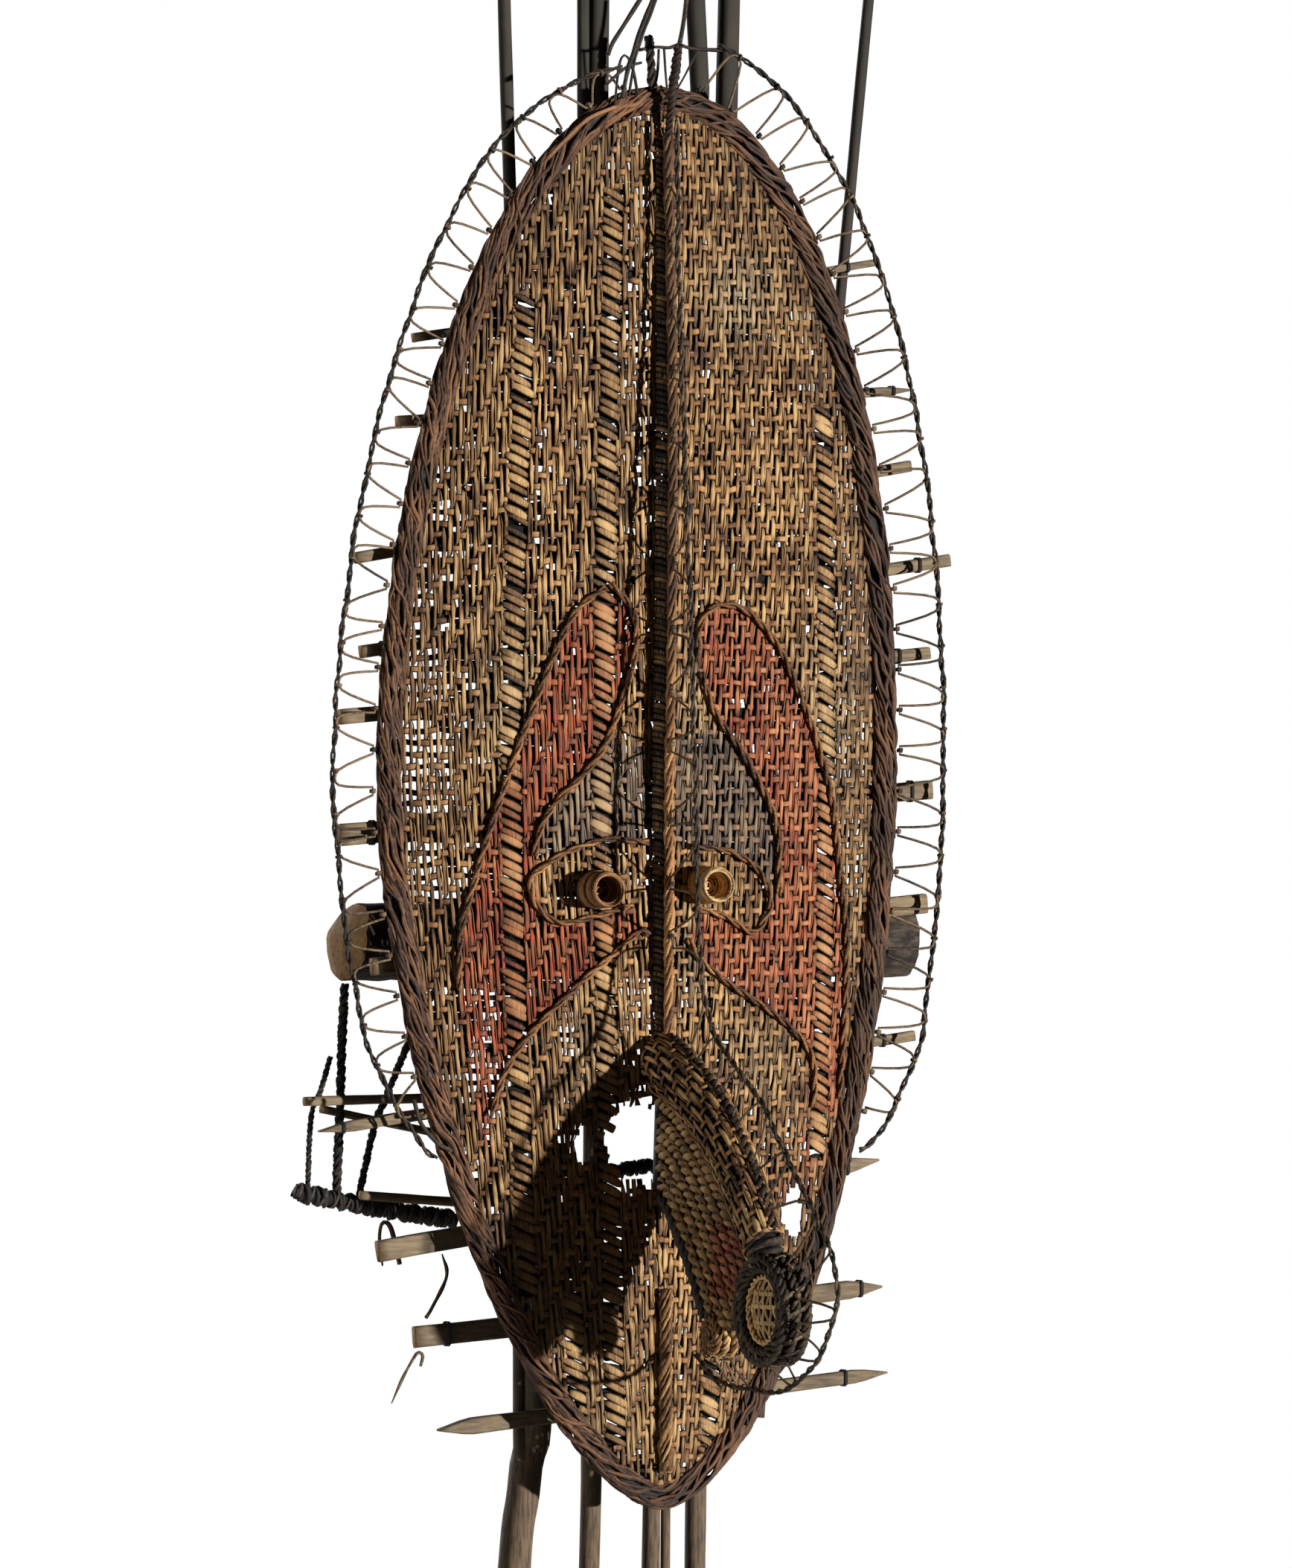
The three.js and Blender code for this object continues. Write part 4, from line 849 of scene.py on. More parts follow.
# A loop's course from tie to tie, as shares of the way along and of the way out to its tip
LOOP_ALONG = np.array([0.1, 0.16, 0.24, 0.32, 0.4, 0.5, 0.6, 0.68, 0.76, 0.84, 0.9])
LOOP_OUT = np.array([0, 0.33, 0.68, 0.9, 0.98, 1.0, 0.98, 0.9, 0.68, 0.33, 0])


def loops(ties, tips, seed):
    """One strand that leaves each tie, rounds the hoop at the next tip, moved a little at random, and comes
    back to the next tie: a + (b - a) along + (tip - the middle of a and b) out."""
    skew = np.random.default_rng(seed).uniform(-0.2, 0.25, (len(tips), 1, 1))
    a, b, tip = ties[:-1, None], ties[1:, None], tips[:, None]
    base = a + (b - a) * LOOP_ALONG[None, :, None]
    reach = (tip - (a + b) / 2 + (b - a) * skew) * LOOP_OUT[None, :, None]
    return (base + reach).reshape(-1, 3)


def rings(piece, centres, runs, radius, thick, seed):
    """Short bindings: two turns of strand round a run at each centre."""
    turns = 2
    angle = np.linspace(0, 2 * math.pi * turns, 8 * turns + 1)
    outward = unit(FRONT - np.sum(FRONT * runs, -1, keepdims=True) * runs)
    side = np.cross(outward, runs)
    away = side[:, None] * np.cos(angle)[:, None] + outward[:, None] * np.sin(angle)[:, None]
    creep = runs[:, None] * (np.linspace(-1, 1, len(angle)) * thick * (turns - 1))[:, None]
    piece.strands(centres[:, None] + radius * away + creep, away, thick, thick, seed=seed)


def hoop_out(turn, top_out):
    """How far the hoop stands off the rim: rising from the top, full down the side, closing at its foot."""
    along = (turn - HOOP_START) / (HOOP_END - HOOP_START)
    rise = top_out + (HOOP_OUT - top_out) * np.minimum(along / 0.18, 1)
    return 4 + (rise - 4) * np.clip((1 - along) / 0.09, 0, 1) ** 0.6


def border_point(side, turn, out, forward):
    """A point beside the rim, so far out from it and forward of it, on the right (1) or the left (-1)."""
    place = outline(turn, out)
    return np.stack([side * place[..., 0], rim_y(place[..., 1]) - forward, place[..., 1]], -1)


def halo(side, top_out, name, seed):
    """A hoop of two twisted canes, and the loops that carry it off the rim at every LOOP_PITCH."""
    fine = np.linspace(HOOP_START, HOOP_END, 800)
    gone = run_length(border_point(side, fine, 0.0, 0))
    count = int(round(gone[-1] / LOOP_PITCH))
    turn = np.interp(np.linspace(0, gone[-1], 2 * count + 1), gone, fine)
    border = Basketry(name + "_canes")
    hoop = even_run(border_point(side, fine, hoop_out(fine, top_out), HOOP_FORWARD), 6)
    lines, away = wound(shaken(hoop, 1.2, 5, seed), FRONT, 1.5, 1.5, 34, spread(2))
    thick = 1.55 * drift(lines, 1, 0.2, 5, seed + 5)
    border.strands(lines, away, thick, thick, tone=drift(lines, 0.2, 0.2, 12, seed + 6))
    if side < 0:
        curl = smooth_run(at_depth([[556, 1478], [566, 1510], [588, 1536], [607, 1546]], rim_y(-190) - 8), 4)
        border.strands(curl, FRONT, 2.2, 2.2, tone=0.3)
    ties = border_point(side, turn[:-2:2], 3.0, 0)
    tips = border_point(side, turn[1:-3:2], hoop_out(turn[1:-3:2], top_out) - 0.5, HOOP_FORWARD + 1.5)
    strand = loops(ties, tips, seed + 7)
    border.strands(strand, FRONT, 1.3, 1.1, tone=drift(strand, 0.75, 0.25, 9, seed + 8))
    rings(border, ties, unit(np.gradient(ties, axis=0)), 2.2, 1.3, seed)
    rings(border, tips, unit(np.gradient(tips, axis=0)), 2.9, 0.9, seed + 9)
    border.make([DARK_VINE], "dark_cane", name)


def border_canes():
    """Each field's border is a pair of canes twisted together and laid on the face."""
    for number, (name, pixels) in enumerate(BORDER_CANES.items()):
        border = Basketry(name + "_pair")
        path = smooth_run(on_face(pixels, PANEL_FRONT + 3.6), 4)
        lines, away = wound(path, FRONT, 1.7, 1.7, 38, spread(2))
        thick = 1.75 * drift(lines, 1, 0.2, 6, 500 + number)
        border.strands(lines, away, thick, thick, tone=drift(lines, 0.25, 0.3, 9, 520 + number))
        border.make([WEFT_CANE], "rim_cane", name)


# Ridge, chin and eyes

def ridge_painted_shade(points):
    """The ridge's left flank is painted black as its shade, but for a few bands where most of that painted
    shade is left off, and its right one is as bare as the face."""
    pigment = face_pigment(points, 0.5)
    z = points[:, 2]
    black = points[:, 0] < 2.5
    unshaded = smoothly((np.sin(0.41 * z) + np.sin(0.093 * z + 2) - 1.15) / 0.5)
    pigment[black] = tinted(points, PAINTED_SHADE_BLACK, 1 - 0.9 * unshaded)[black]
    return pigment


def crest_soot(points):
    """The rope on the crest darkens towards the forehead."""
    return tinted(points, SOOT, 0.85 * smoothly((points[:, 2] - 120) / 260))


def nose_ridge():
    """Straps wrapped over the fin, each an arch of the ridge's own profile, and a twisted rope on the crest,
    which stands up beyond the top as a darker stem."""
    fin = Basketry("nose_ridge_straps")
    across = np.linspace(-1, 1, 9)
    z = np.arange(RIDGE_TOP - 3, RIDGE_END + 3, -5.6)[:, None]
    jitter = np.random.default_rng(600).normal(0, 1, (len(z), 2))
    slope = z - 3 * across + 0.5 * jitter[:, :1]
    rise = ridge_height(slope) * (1 - np.abs(across) ** 4 * 0.85)
    x = across * RIDGE_HALF_WIDTH + 0 * slope
    place = np.stack([x, face_y(0 * x, slope) - PANEL_FRONT - rise, slope], -1)
    outward = np.broadcast_to(np.stack([across, 0 * across - 1, 0 * across], -1), place.shape)
    fin.strands(place, outward, 2.7 * (1 + 0.1 * jitter[:, 1:]), 1.0, STRAP, seed=601)
    fin.make([STAKE_CANE], "face_cane", "nose_ridge", paint=ridge_painted_shade)
    rope = Basketry("crest_rope_strands")
    rope.rope(crest(np.arange(RIDGE_TOP, RIDGE_END - 1, -6), ROPE_LIFT) + RIGHT, FRONT, 5.2, 4, 58, 602, 0.35)
    stem = at_side([[905, 110], [909, 84], [912, 60]], 0)
    upper = smooth_run(np.vstack([crest([RIDGE_TOP - 5], ROPE_LIFT), stem]), 4)
    rope.rope(upper, FRONT, 4.8, 3, 18, 604, 0.4, 0.7, 0.0)
    rope.make([WEFT_CANE], "face_cane", "crest_rope", paint=crest_soot)


def chin_rope():
    """The thick rope down the middle of the chin."""
    rope = Basketry("chin_rope_strands")
    z = np.arange(CHIN_TOP, CHIN_FOOT, -5.0)
    path = np.stack([0 * z, face_y(0 * z, z) - 6.5, z], -1)
    rope.rope(path, FRONT, 7.2, 6, 62, 610, 0.6)
    rope.make([STAKE_CANE], "face_cane", "chin_rope")


def cup_paint_and_painted_light(points):
    """The right cup is painted as pale as clean straw, partly its own colour and partly painted light on
    walls that the lamps leave in shade; the left one is bare cane.
    """
    return tinted(points, STRAW_WITH_PAINTED_LIGHT, np.where(points[:, 0] > 0, 0.85, 0.0))


# The eye cups: the pixel each stands on, and seed
EYE_CUPS = {"eye_cup_left": ([799, 1195], 620), "eye_cup_right": ([946, 1189], 630)}
# A cup's wall, as distances from its middle and behind its base: up the outside, over the lip and in
CUP_WALL = np.array([(16.4, 6), (16.2, -17), (15.3, -30), (14.5, -31.5), (13.6, -21), (12.6, -12), (11.3, -9),
                     (6, -8), (1.2, -8)])
COIL_PITCH = 3.0
LOOSE_RINGS = 14


def eye_cup(name, pixel, seed):
    """One cup of coiled cane: up the outside of the wall, over its lip, down the inside, then in to the
    middle. Loose rings of thin cane lie inside it."""
    base = on_face(pixel, PANEL_FRONT)
    gone = run_length(CUP_WALL)
    share = np.linspace(0, gone[-1], 22 * int(gone[-1] / COIL_PITCH))
    radius, forward = (np.interp(share, gone, CUP_WALL[:, k]) for k in range(2))
    angle = 2 * math.pi * share / COIL_PITCH
    radial = np.stack([np.cos(angle), 0 * angle, np.sin(angle)], -1)
    path = base + radial * radius[:, None] - FRONT * forward[:, None]
    cup = Basketry(name + "_coil")
    thick = 1.45 * drift(path, 1, 0.4, 6, seed)
    path = path + radial * drift(path, 0, 0.8, 7, seed + 3).T
    cup.strands(path, radial, thick, thick, tone=drift(path, 0.5, 0.5, 13, seed + 1), light=0.9)
    turn = np.linspace(0, 2 * math.pi, 33)
    loose = np.random.default_rng(seed + 2).uniform(-1, 1, (LOOSE_RINGS, 4))
    for number, (wide, x, z, tilt) in enumerate(loose):
        radius = 15.8 - 0.32 * number + 0.5 * wide
        forward = -32 + 1.7 * number + 1.8 * tilt * np.sin(turn + 2 * number)
        round_turn = np.stack([radius * np.cos(turn) + 0.9 * x, forward, radius * np.sin(turn) + 0.9 * z], -1)
        cup.strands(base + round_turn, FRONT, 0.8, 0.8, tone=0.5 + 0.5 * wide, light=0.9)
    cup.make([WEFT_CANE], "rim_cane", name, paint=cup_paint_and_painted_light)


# The nose

SCROLL_CENTRE_PX = [1038, 1760]
SMALL_SCROLL_PX = [966, 1796]
TRUNK_SPINE_PX = [[868, 1424], [905, 1440], [960, 1508], [1002, 1600], [1026, 1672]]
WEB_EDGE_PX = [[850, 1572], [893, 1612], [926, 1690], [950, 1768]]
NOSE_HALO_PX = [[909, 160], [911, 300], [916, 480], [922, 650], [929, 860], [935, 1080], [938, 1250],
                [955, 1375], [997, 1446], [1027, 1488], [1060, 1560], [1100, 1640], [1121, 1695],
                [1125, 1750], [1112, 1800], [1090, 1840], [1050, 1868], [1000, 1865], [960, 1850],
                [934, 1820]]

SCROLL_CENTRE = at_side(SCROLL_CENTRE_PX, 0)
SMALL_CENTRE = at_side(SMALL_SCROLL_PX, 0)
SPINE = smooth_run(at_side(TRUNK_SPINE_PX, 0), 4)
WEB_ROPES = 8
WEB_HALF_DEPTH = 4
WEB_FULL = 0.94
WEB_TOP = smooth_run(at_side(TRUNK_SPINE_PX + [SCROLL_CENTRE_PX], 0), 4)
WEB_FOOT = smooth_run(at_side(WEB_EDGE_PX + [SMALL_SCROLL_PX], 0), 4)


def before_face(place, least=1.0):
    """True where a place stands at least so far in front of the face."""
    return place[..., 1] < face_y(place[..., 0], place[..., 2]) - least


def off_round(place, centre, radius):
    """True outside a round that lies across the mask's middle plane."""
    return np.hypot(place[..., 1] - centre[1], place[..., 2] - centre[2]) > radius


def trunk_surface(columns, rows):
    """A tube round the spine, an ellipse in section, tapering by TRUNK_TAPER to its end."""
    def surface(c, r):
        """The place and the outward direction at a column round the tube and a row along it."""
        share = r / rows
        place, run = on_line(SPINE, np.clip(share, 0, 1))
        normal = np.cross(RIGHT, run)
        angle = 2 * math.pi * c / columns
        cos, sin = np.cos(angle)[..., None], np.sin(angle)[..., None]
        taper = 0.93 * (1 - TRUNK_TAPER * share)[..., None]
        return (place + taper * (normal * TRUNK_DEPTH * cos + RIGHT * TRUNK_HALF_WIDTH * sin),
                normal * cos + RIGHT * sin)
    return surface


def nose_trunk():
    """The woven nose over a lining painted dark as shade, with a rope along its back and a bound neck up
    to the scroll, whose core is painted dark as shade.
    """
    trunk, wefts = Basketry("nose_trunk_stakes"), Basketry("nose_trunk_wefts")
    keep = lambda place: before_face(place) & off_round(place, SCROLL_CENTRE, SCROLL_RADIUS - 3)
    columns, rows = 22, 27
    surface = trunk_surface(columns, rows)
    weave(surface, np.arange(columns), rows, 3, -1, trunk, wefts, 2.1, 2.7, 1.4, keep, 700)
    c, r = np.meshgrid(np.arange(columns) + 0.0, np.arange(rows + 1) + 0.0, indexing="ij")
    lining, out = surface(c, r)
    # The lining is painted near black, as shade inside the weave
    trunk.strands(lining - out * 3.0, out, 4.2, 0.5, STRAP, keep(lining), 0.0, 0.1)
    share = np.linspace(0.02, 1, 60)
    spine, run = on_line(SPINE, share)
    rope = spine - np.cross(RIGHT, run) * (28 * (1 - TRUNK_TAPER * share))[:, None] + RIGHT * 2
    trunk.rope(rope[before_face(rope)], RIGHT, 6, 3, 30, 720, 0.2, 0.5, 0.0)
    toward = unit(SCROLL_CENTRE - SPINE[-1])
    neck = smooth_run([SPINE[-4], SPINE[-1], SCROLL_CENTRE - toward * (SCROLL_RADIUS - 5)], 3)
    # The neck's core is painted black, as shade between its wraps
    trunk.strands(neck, RIGHT, 18, 12, ring_section(14), tone=0.0, light=0.0, skin=1)
    lines, away = wound(neck, RIGHT, 19, 13.5, 15, spread(2), 1, 24)
    thick = 3.4 * drift(lines, 1, 0.3, 3, 725)
    trunk.strands(lines, away, thick, thick, tone=drift(lines, 0.4, 0.3, 5, 727), light=0.8, skin=1)
    trunk.make([STAKE_CANE, DARK_VINE], "face_cane", "nose_trunk")
    wefts.make([WEFT_CANE], "face_cane", "nose_trunk")


def on_web(down, along):
    """In the web's middle: top (1 - down) + edge down, at a share along the nose. It stops at WEB_FULL of the
    way down, short of the edge rope."""
    top, _ = on_line(WEB_TOP, along)
    foot, _ = on_line(WEB_FOOT, along)
    return top + (foot - top) * WEB_FULL * np.asarray(down)[..., None]


def web_pigment(points):
    """Straw, with a red stripe between two ragged lines down the photograph that is worn in patches."""
    stripe = at_side([[962, 1640], [1003, 1650], [1010, 1740], [962, 1748]], 0)[:, [1, 2]]
    y, z = points[:, 1], points[:, 2]
    ragged = 5 * np.sin(0.5 * z) + 3 * np.sin(1.3 * z + 0.4 * y)
    within = enclosed(stripe, y + ragged, z + 4 * np.sin(0.6 * y))
    worn = 0.5 + 0.5 * np.sin(0.8 * z + 2 * np.sin(0.3 * y))
    red = blend(linear(OCHRE_RED), linear(FADED_RED), worn[:, None])
    colour = np.where(within[:, None], red, linear(STRAW))
    return np.hstack([colour, np.where(within, 0.85 - 0.35 * worn, 0.6)[:, None]])


def nose_web():
    """Flattened ropes of two strands, laid side by side along each face of the web, over a lining painted
    dark as shade, and the web's dark edge rope."""
    web = Basketry("nose_web_ropes")
    keep = lambda place: (before_face(place) & off_round(place, SCROLL_CENTRE, SCROLL_RADIUS - 3)
                          & off_round(place, SMALL_CENTRE, SMALL_SCROLL_RADIUS - 3))
    along = np.linspace(0, 1, 90)
    for side in (-1, 1):
        for row in range(WEB_ROPES):
            place = on_web(np.full(90, (row + 0.5) / WEB_ROPES), along) + RIGHT * side * WEB_HALF_DEPTH
            place = place[keep(place)]
            if len(place) < 6:
                continue
            place = place + UP * drift(place, 0, 1.6, 9, 720 + row).T
            lines, away = wound(place, RIGHT * side, 4.4, 1.8, 20 + row, (row, row + math.pi), side)
            thick = drift(lines, 1, 0.3, 4, 730 + row)
            # Painted shade: a strand darkens where it turns in towards the web
            light = np.clip(0.66 + 0.34 * side * away[..., 0], 0.3, 1)
            web.strands(lines, away, 3.7 * thick, 2.4 * thick, tone=drift(lines, 0.5, 0.5, 3, 740 + row),
                        light=light)
    down, share = np.meshgrid(np.linspace(0, 1, 16), np.linspace(0, 1, 40), indexing="ij")
    lining = on_web(down, share)
    # The lining is painted near black, as shade inside the web
    web.strands(lining, RIGHT, 6, 0.5, STRAP, keep(lining), 0.0, 0.1)
    web.make([STAKE_CANE], "face_cane", "nose_web", paint=web_pigment)
    rope = Basketry("nose_web_rope_strands")
    path = smooth_run(at_side(WEB_EDGE_PX, 0), 4)
    path = path[before_face(path, 0) & off_round(path, SMALL_CENTRE, SMALL_SCROLL_RADIUS)]
    rope.rope(path, RIGHT, 8.2, 3, 34, 740, 0.2, tone=0.2)
    rope.make([DARK_VINE], "dark_cane", "nose_web_rope")


def round_path(centre, radius, x, turns=1.0, start=0.0, end_radius=None):
    """A circle, or a spiral in to end_radius, across the middle plane."""
    angle = start + np.linspace(0, 2 * math.pi * turns, int(64 * turns) + 1)
    radius = np.linspace(radius, radius if end_radius is None else end_radius, len(angle))[:, None]
    return centre + RIGHT * x + radius * np.stack([0 * angle, np.cos(angle), np.sin(angle)], -1)


def disc_paint_and_painted_light(points):
    """Clean straw, much paler than the ropes round it: partly its own colour, partly painted light on a side
    the key lamp leaves in shade.
    """
    return tinted(points, STRAW_WITH_PAINTED_LIGHT, 0.75)


def nose_scroll():
    """A ring of six ropes laid side by side in two layers, tied across by slanting wraps."""
    ring = Basketry("nose_scroll_ropes")
    for radius, thick in ((SCROLL_RADIUS - 5.2, 5.6), (SCROLL_HOLE + 4.8, 5.2)):
        for x in (-11.6, 0, 11.6):
            path = round_path(SCROLL_CENTRE, radius, x, start=0.4 * x)
            ring.rope(path, RIGHT, thick, 3, 27, int(750 + x + radius), 0.2, 0.9, 0.35)
    path = round_path(SCROLL_CENTRE, (SCROLL_RADIUS + SCROLL_HOLE) / 2, 0)
    wrap, away = wound(path, RIGHT, 8.6, 15.4, 39, (0, 2.6), 1, 16)
    ring.strands(wrap, away, 2.6, 1.0, STRAP, seed=755)
    ring.make([DARK_VINE], "rim_cane", "nose_scroll")


def scroll_disc():
    """The woven disc in the scroll: a middle painted dark as shade, and on both of its sides upright strips
    that dome by DISC_DOME (1 - r^2), r in parts of DOME_EDGE, three strips across them, and a rope round the
    edge."""
    disc = Basketry("nose_scroll_disc_strips")
    middle = SCROLL_CENTRE + RIGHT * np.array([[-2.5], [0], [2.5]])
    disc.strands(middle, UP, DISC_RADIUS, DISC_RADIUS, ring_section(24), tone=0.0, light=0.1)
    strip = np.arange(-5, 6)[:, None]
    share = np.linspace(-1, 1, 15)
    flatter = 1 - (DISC_STRIP_PITCH * strip / DOME_EDGE) ** 2
    for side in (-1, 1):
        y = DISC_STRIP_PITCH * strip + 0.9 * wander(len(strip), 15, 4, 760 + side)
        lift = 3.6 + DISC_DOME * flatter * (1 - share ** 2) + 1.1 * np.cos(math.pi * (strip + 2.6 * share))
        place = SCROLL_CENTRE + np.stack([side * lift, y, DISC_RADIUS * np.sqrt(flatter) * share], -1)
        disc.strands(place, RIGHT * side, 2.7, 0.9, STRAP, seed=762)
        for level in (-12, 3, 15):
            y = np.linspace(-1, 1, 23) * math.sqrt(DISC_RADIUS ** 2 - level ** 2)
            dome = DISC_DOME * (1 - (y ** 2 + level ** 2) / DOME_EDGE ** 2)
            lift = 3.6 + dome - 1.1 * np.cos(math.pi * y / DISC_STRIP_PITCH + level)
            place = SCROLL_CENTRE + np.stack([side * lift, y, level + 0 * y], -1)
            disc.strands(place, RIGHT * side, 2.9, 0.9, STRAP, seed=763)
        edge = round_path(SCROLL_CENTRE, 30.4, 9.5 * side)
        disc.rope(edge, RIGHT * side, 3.0, 2, 15, 766 + side, 0.3, tone=0.8)
    disc.make([STAKE_CANE], "face_cane", "nose_scroll_disc", paint=disc_paint_and_painted_light)


def small_scroll():
    """Three ropes side by side, each wound in from the edge to the middle."""
    small = Basketry("nose_small_scroll_ropes")
    for x in (-8, 0, 8):
        path = round_path(SMALL_CENTRE, 19.5, x, 2.6, 0.5 + x, 3.5)
        small.rope(path, RIGHT, 4.2, 3, 22, int(770 + x), 0.2)
    small.make([STAKE_CANE], "face_cane", "nose_small_scroll")


def nose_halo():
    """The looped border down the ridge and round the nose, tied to whatever is nearest to it."""
    lean = 14 * np.clip((np.arange(len(NOSE_HALO_PX)) / len(NOSE_HALO_PX) - 0.35) / 0.3, 0, 1)
    hoop = smooth_run(at_side(NOSE_HALO_PX, lean), 4)
    z = np.arange(RIDGE_TOP - 5, RIDGE_END, -12.0)
    share = np.linspace(0, 1, 11)
    rounds = np.vstack([SCROLL_CENTRE, SMALL_CENTRE, crest(z, ROPE_LIFT), on_line(SPINE, share)[0]])
    radii = np.concatenate([[SCROLL_RADIUS, SMALL_SCROLL_RADIUS], np.full(len(z), 5),
                            TRUNK_DEPTH * (1 - TRUNK_TAPER * share)])
    corners, _ = on_line(hoop, np.arange(1, 2 * NOSE_LOOPS) / (2 * NOSE_LOOPS))
    middle = corners[1::2] * (0, 1, 1)
    apart = np.linalg.norm(middle[:, None] - rounds[None], axis=-1) - radii
    nearest = np.argmin(apart, 1)
    ties = rounds[nearest] + unit(middle - rounds[nearest]) * (radii[nearest] + 1)[:, None]
    border = Basketry("nose_halo_canes")
    lines, away = wound(shaken(hoop, 1.0, 6, 780), RIGHT, 1.5, 1.5, 32, spread(2))
    border.strands(lines, away, 1.5, 1.5, seed=783)
    border.strands(loops(ties, corners[2:-1:2], 784), RIGHT, 1.3, 1.1, seed=785)
    rings(border, ties, unit(np.gradient(ties, axis=0)), 2.2, 1.2, 786)
    border.make([DARK_VINE], "dark_cane", "nose_halo")


# Timber

# Poles: pixels down each, half width, and whether it is broken off at its foot
POLES = {
    "pole_far_left": ([[676, -80], [678, 0], [686, 290], [698, 1962]], 5.8, True),
    "pole_left_short": ([[784, -80], [784, 0], [783, 420]], 5.4, True),
    "pole_left": ([[803, -80], [803, 0], [800, 1000], [795, 1985], [790, 2195]], 9.9, False),
    "pole_middle": ([[934, -80], [934, 0], [940, 120], [905, 1100], [875, 2020], [873, 2195]], 8.6, False),
    "pole_middle_foot": ([[902, 1820], [894, 2015], [893, 2195]], 4.6, False),
    "pole_right": ([[983, -80], [980, 0], [958, 1000], [935, 1990], [933, 2195]], 9.8, False),
    "pole_far_right": ([[1174, -80], [1167, 0], [1130, 390], [1064, 1250], [1020, 1905]], 5, True),
}
PROP_PX = [[735, 1330], [726, 1700], [719, 1920], [709, 1960], [703, 2011], [695, 2063], [686, 2195]]
# Laths: pixels at the left and right ends, height there, and whether either end is sharpened
LATHS = {
    "lath_1": ([556, 455], [1180, 353], 9, 7, False, False),
    "lath_2": ([534, 567], [1225, 523], 12, 9, False, True),
    "lath_3": ([478, 750], [1222, 626], 11, 11, False, False),
    "lath_4": ([485, 877], [1274, 752], 12, 12, False, False),
    "lath_5": ([457, 964], [1247, 878], 15, 12, False, False),
    "lath_6": ([456, 1122], [1250, 1062], 21, 18, False, False),
    "lath_7": ([500, 1300], [1243, 1214], 17, 19, False, False),
    "lath_8": ([430, 1520], [1227, 1391], 11, 10, True, False),
    "lath_9": ([508, 1682], [1178, 1558], 21, 15, False, True),
    "lath_10": ([557, 1797], [1182, 1729], 21, 17, False, True),
    "lath_11": ([590, 1921], [1189, 1845], 16, 13, True, True),
}


def lumpy(sides, stations, square, depth, every, seed):
    """A superellipse section at each station, swollen by slow random drift in each side."""
    swell = 1 + depth * wander(sides, stations, every, seed).T[..., None]
    return ring_section(sides, square)[None] * swell


def pole_weather(points):
    """The poles are sooty above the mask, and barer and browner towards their feet."""
    z = points[:, 2:]
    sooty = smoothly((z - 300) / 350)
    bare = smoothly((-350 - z) / 150)
    return np.hstack([blend(linear(POLE_SOOT), linear(BARE_POLE), bare), 0.8 * sooty + 0.6 * bare])


def stick(name, kind, wood, path, half_width, half_depth, section, paint=None):
    """A length of wood with its two ends cut across."""
    made = Basketry(name + "_" + kind)
    made.strands(path, FRONT, half_width, half_depth, section, tone=0.5, cut_skin=1)
    made.make([wood, CUT_WOOD], "sapling_wood", name, paint=paint)


def poles():
    """The upright saplings, and the curved prop under the beam."""
    for number, (name, (pixels, half, broken)) in enumerate(POLES.items()):
        through = min(half, POLE_DEPTH / 2)
        ends = at_depth(pixels, POLE_FRONT + through)
        if ends[0, 2] > MASK_TOP:
            ends[0, 2] = POLE_TOP
        if not broken:
            ends[-1, 2] = POLE_FOOT
        path = even_run(ends, 14)
        path = path + RIGHT * drift(path, 0, 0.5, 9, 800 + number).T
        stick(name, "sapling", POLE_WOOD, path, half * np.linspace(1.02, 0.93, len(path)), through * 0.97,
              lumpy(18, len(path), 2.6, 0.05, 5, 810 + number), pole_weather)
    ends = at_depth(PROP_PX, -BEAM_RADIUS - 18)
    ends[0, 2] = -BEAM_RADIUS - 0.3
    ends[-1, 2] = POLE_FOOT
    path = smooth_run(ends, 12)
    thick = np.interp(np.linspace(0, 1, len(path)), [0, 0.3, 0.7, 1], [12, 14, 15.3, 15])
    stick("pole_prop", "sapling", POLE_WOOD, path, thick, thick, lumpy(20, len(path), 2.2, 0.06, 4, 830),
          pole_weather)


# Bands of cord round the laths, as distances from the left end or, below zero, from the right one
BAND_PLACES = [(-30,), (-24, 31), (-42,), (-33, 26)]
SHARPENED = 34


def laths():
    """Split boards: a squared section between the two ends, drawn in to a point where an end was sharpened,
    with bands of cord near the ends."""
    ring = ring_section(12, 5)
    ring = np.vstack([ring, ring[:1]])
    for number, (name, spec) in enumerate(LATHS.items()):
        left_px, right_px, left_tall, right_tall, left_point, right_point = spec
        ends = at_depth([left_px, right_px], LATH_MIDDLE)
        deep = min(LATH_DEPTH, left_tall)
        ends[:, 1] = LATH_BACK - deep / 2
        path = even_run(ends, 11)
        gone = run_length(path)
        tall = np.linspace(left_tall, right_tall, len(path))
        if left_point:
            tall = tall * np.clip(0.15 + gone / SHARPENED, 0, 1)
        if right_point:
            tall = tall * np.clip(0.15 + (gone[-1] - gone) / SHARPENED, 0, 1)
        path = path + UP * drift(path, 0, 0.8, 7, 840 + number).T
        section = lumpy(16, len(path), 5, 0.04, 4, 860 + number)
        board = Basketry(name + "_board")
        board.strands(path, FRONT, tall / 2 * 0.98, deep / 2 * 0.97, section, tone=0.5, cut_skin=1)
        for from_end in BAND_PLACES[number % len(BAND_PLACES)]:
            wanted = from_end if from_end > 0 else gone[-1] + from_end
            at = int(np.argmin(np.abs(gone - wanted)))
            around = UP * ring[:, :1] * (tall[at] / 2 + 0.7) + FRONT * ring[:, 1:] * (deep / 2 + 0.4)
            board.strands(path[at] + around, around, 2.1, 0.8, STRAP, tone=0.2, skin=2)
        board.make([LATH_WOOD, CUT_WOOD, CORD], "sapling_wood", name)


BEAM_ENDS_PX = [[460, 1272], [1213, 1258]]
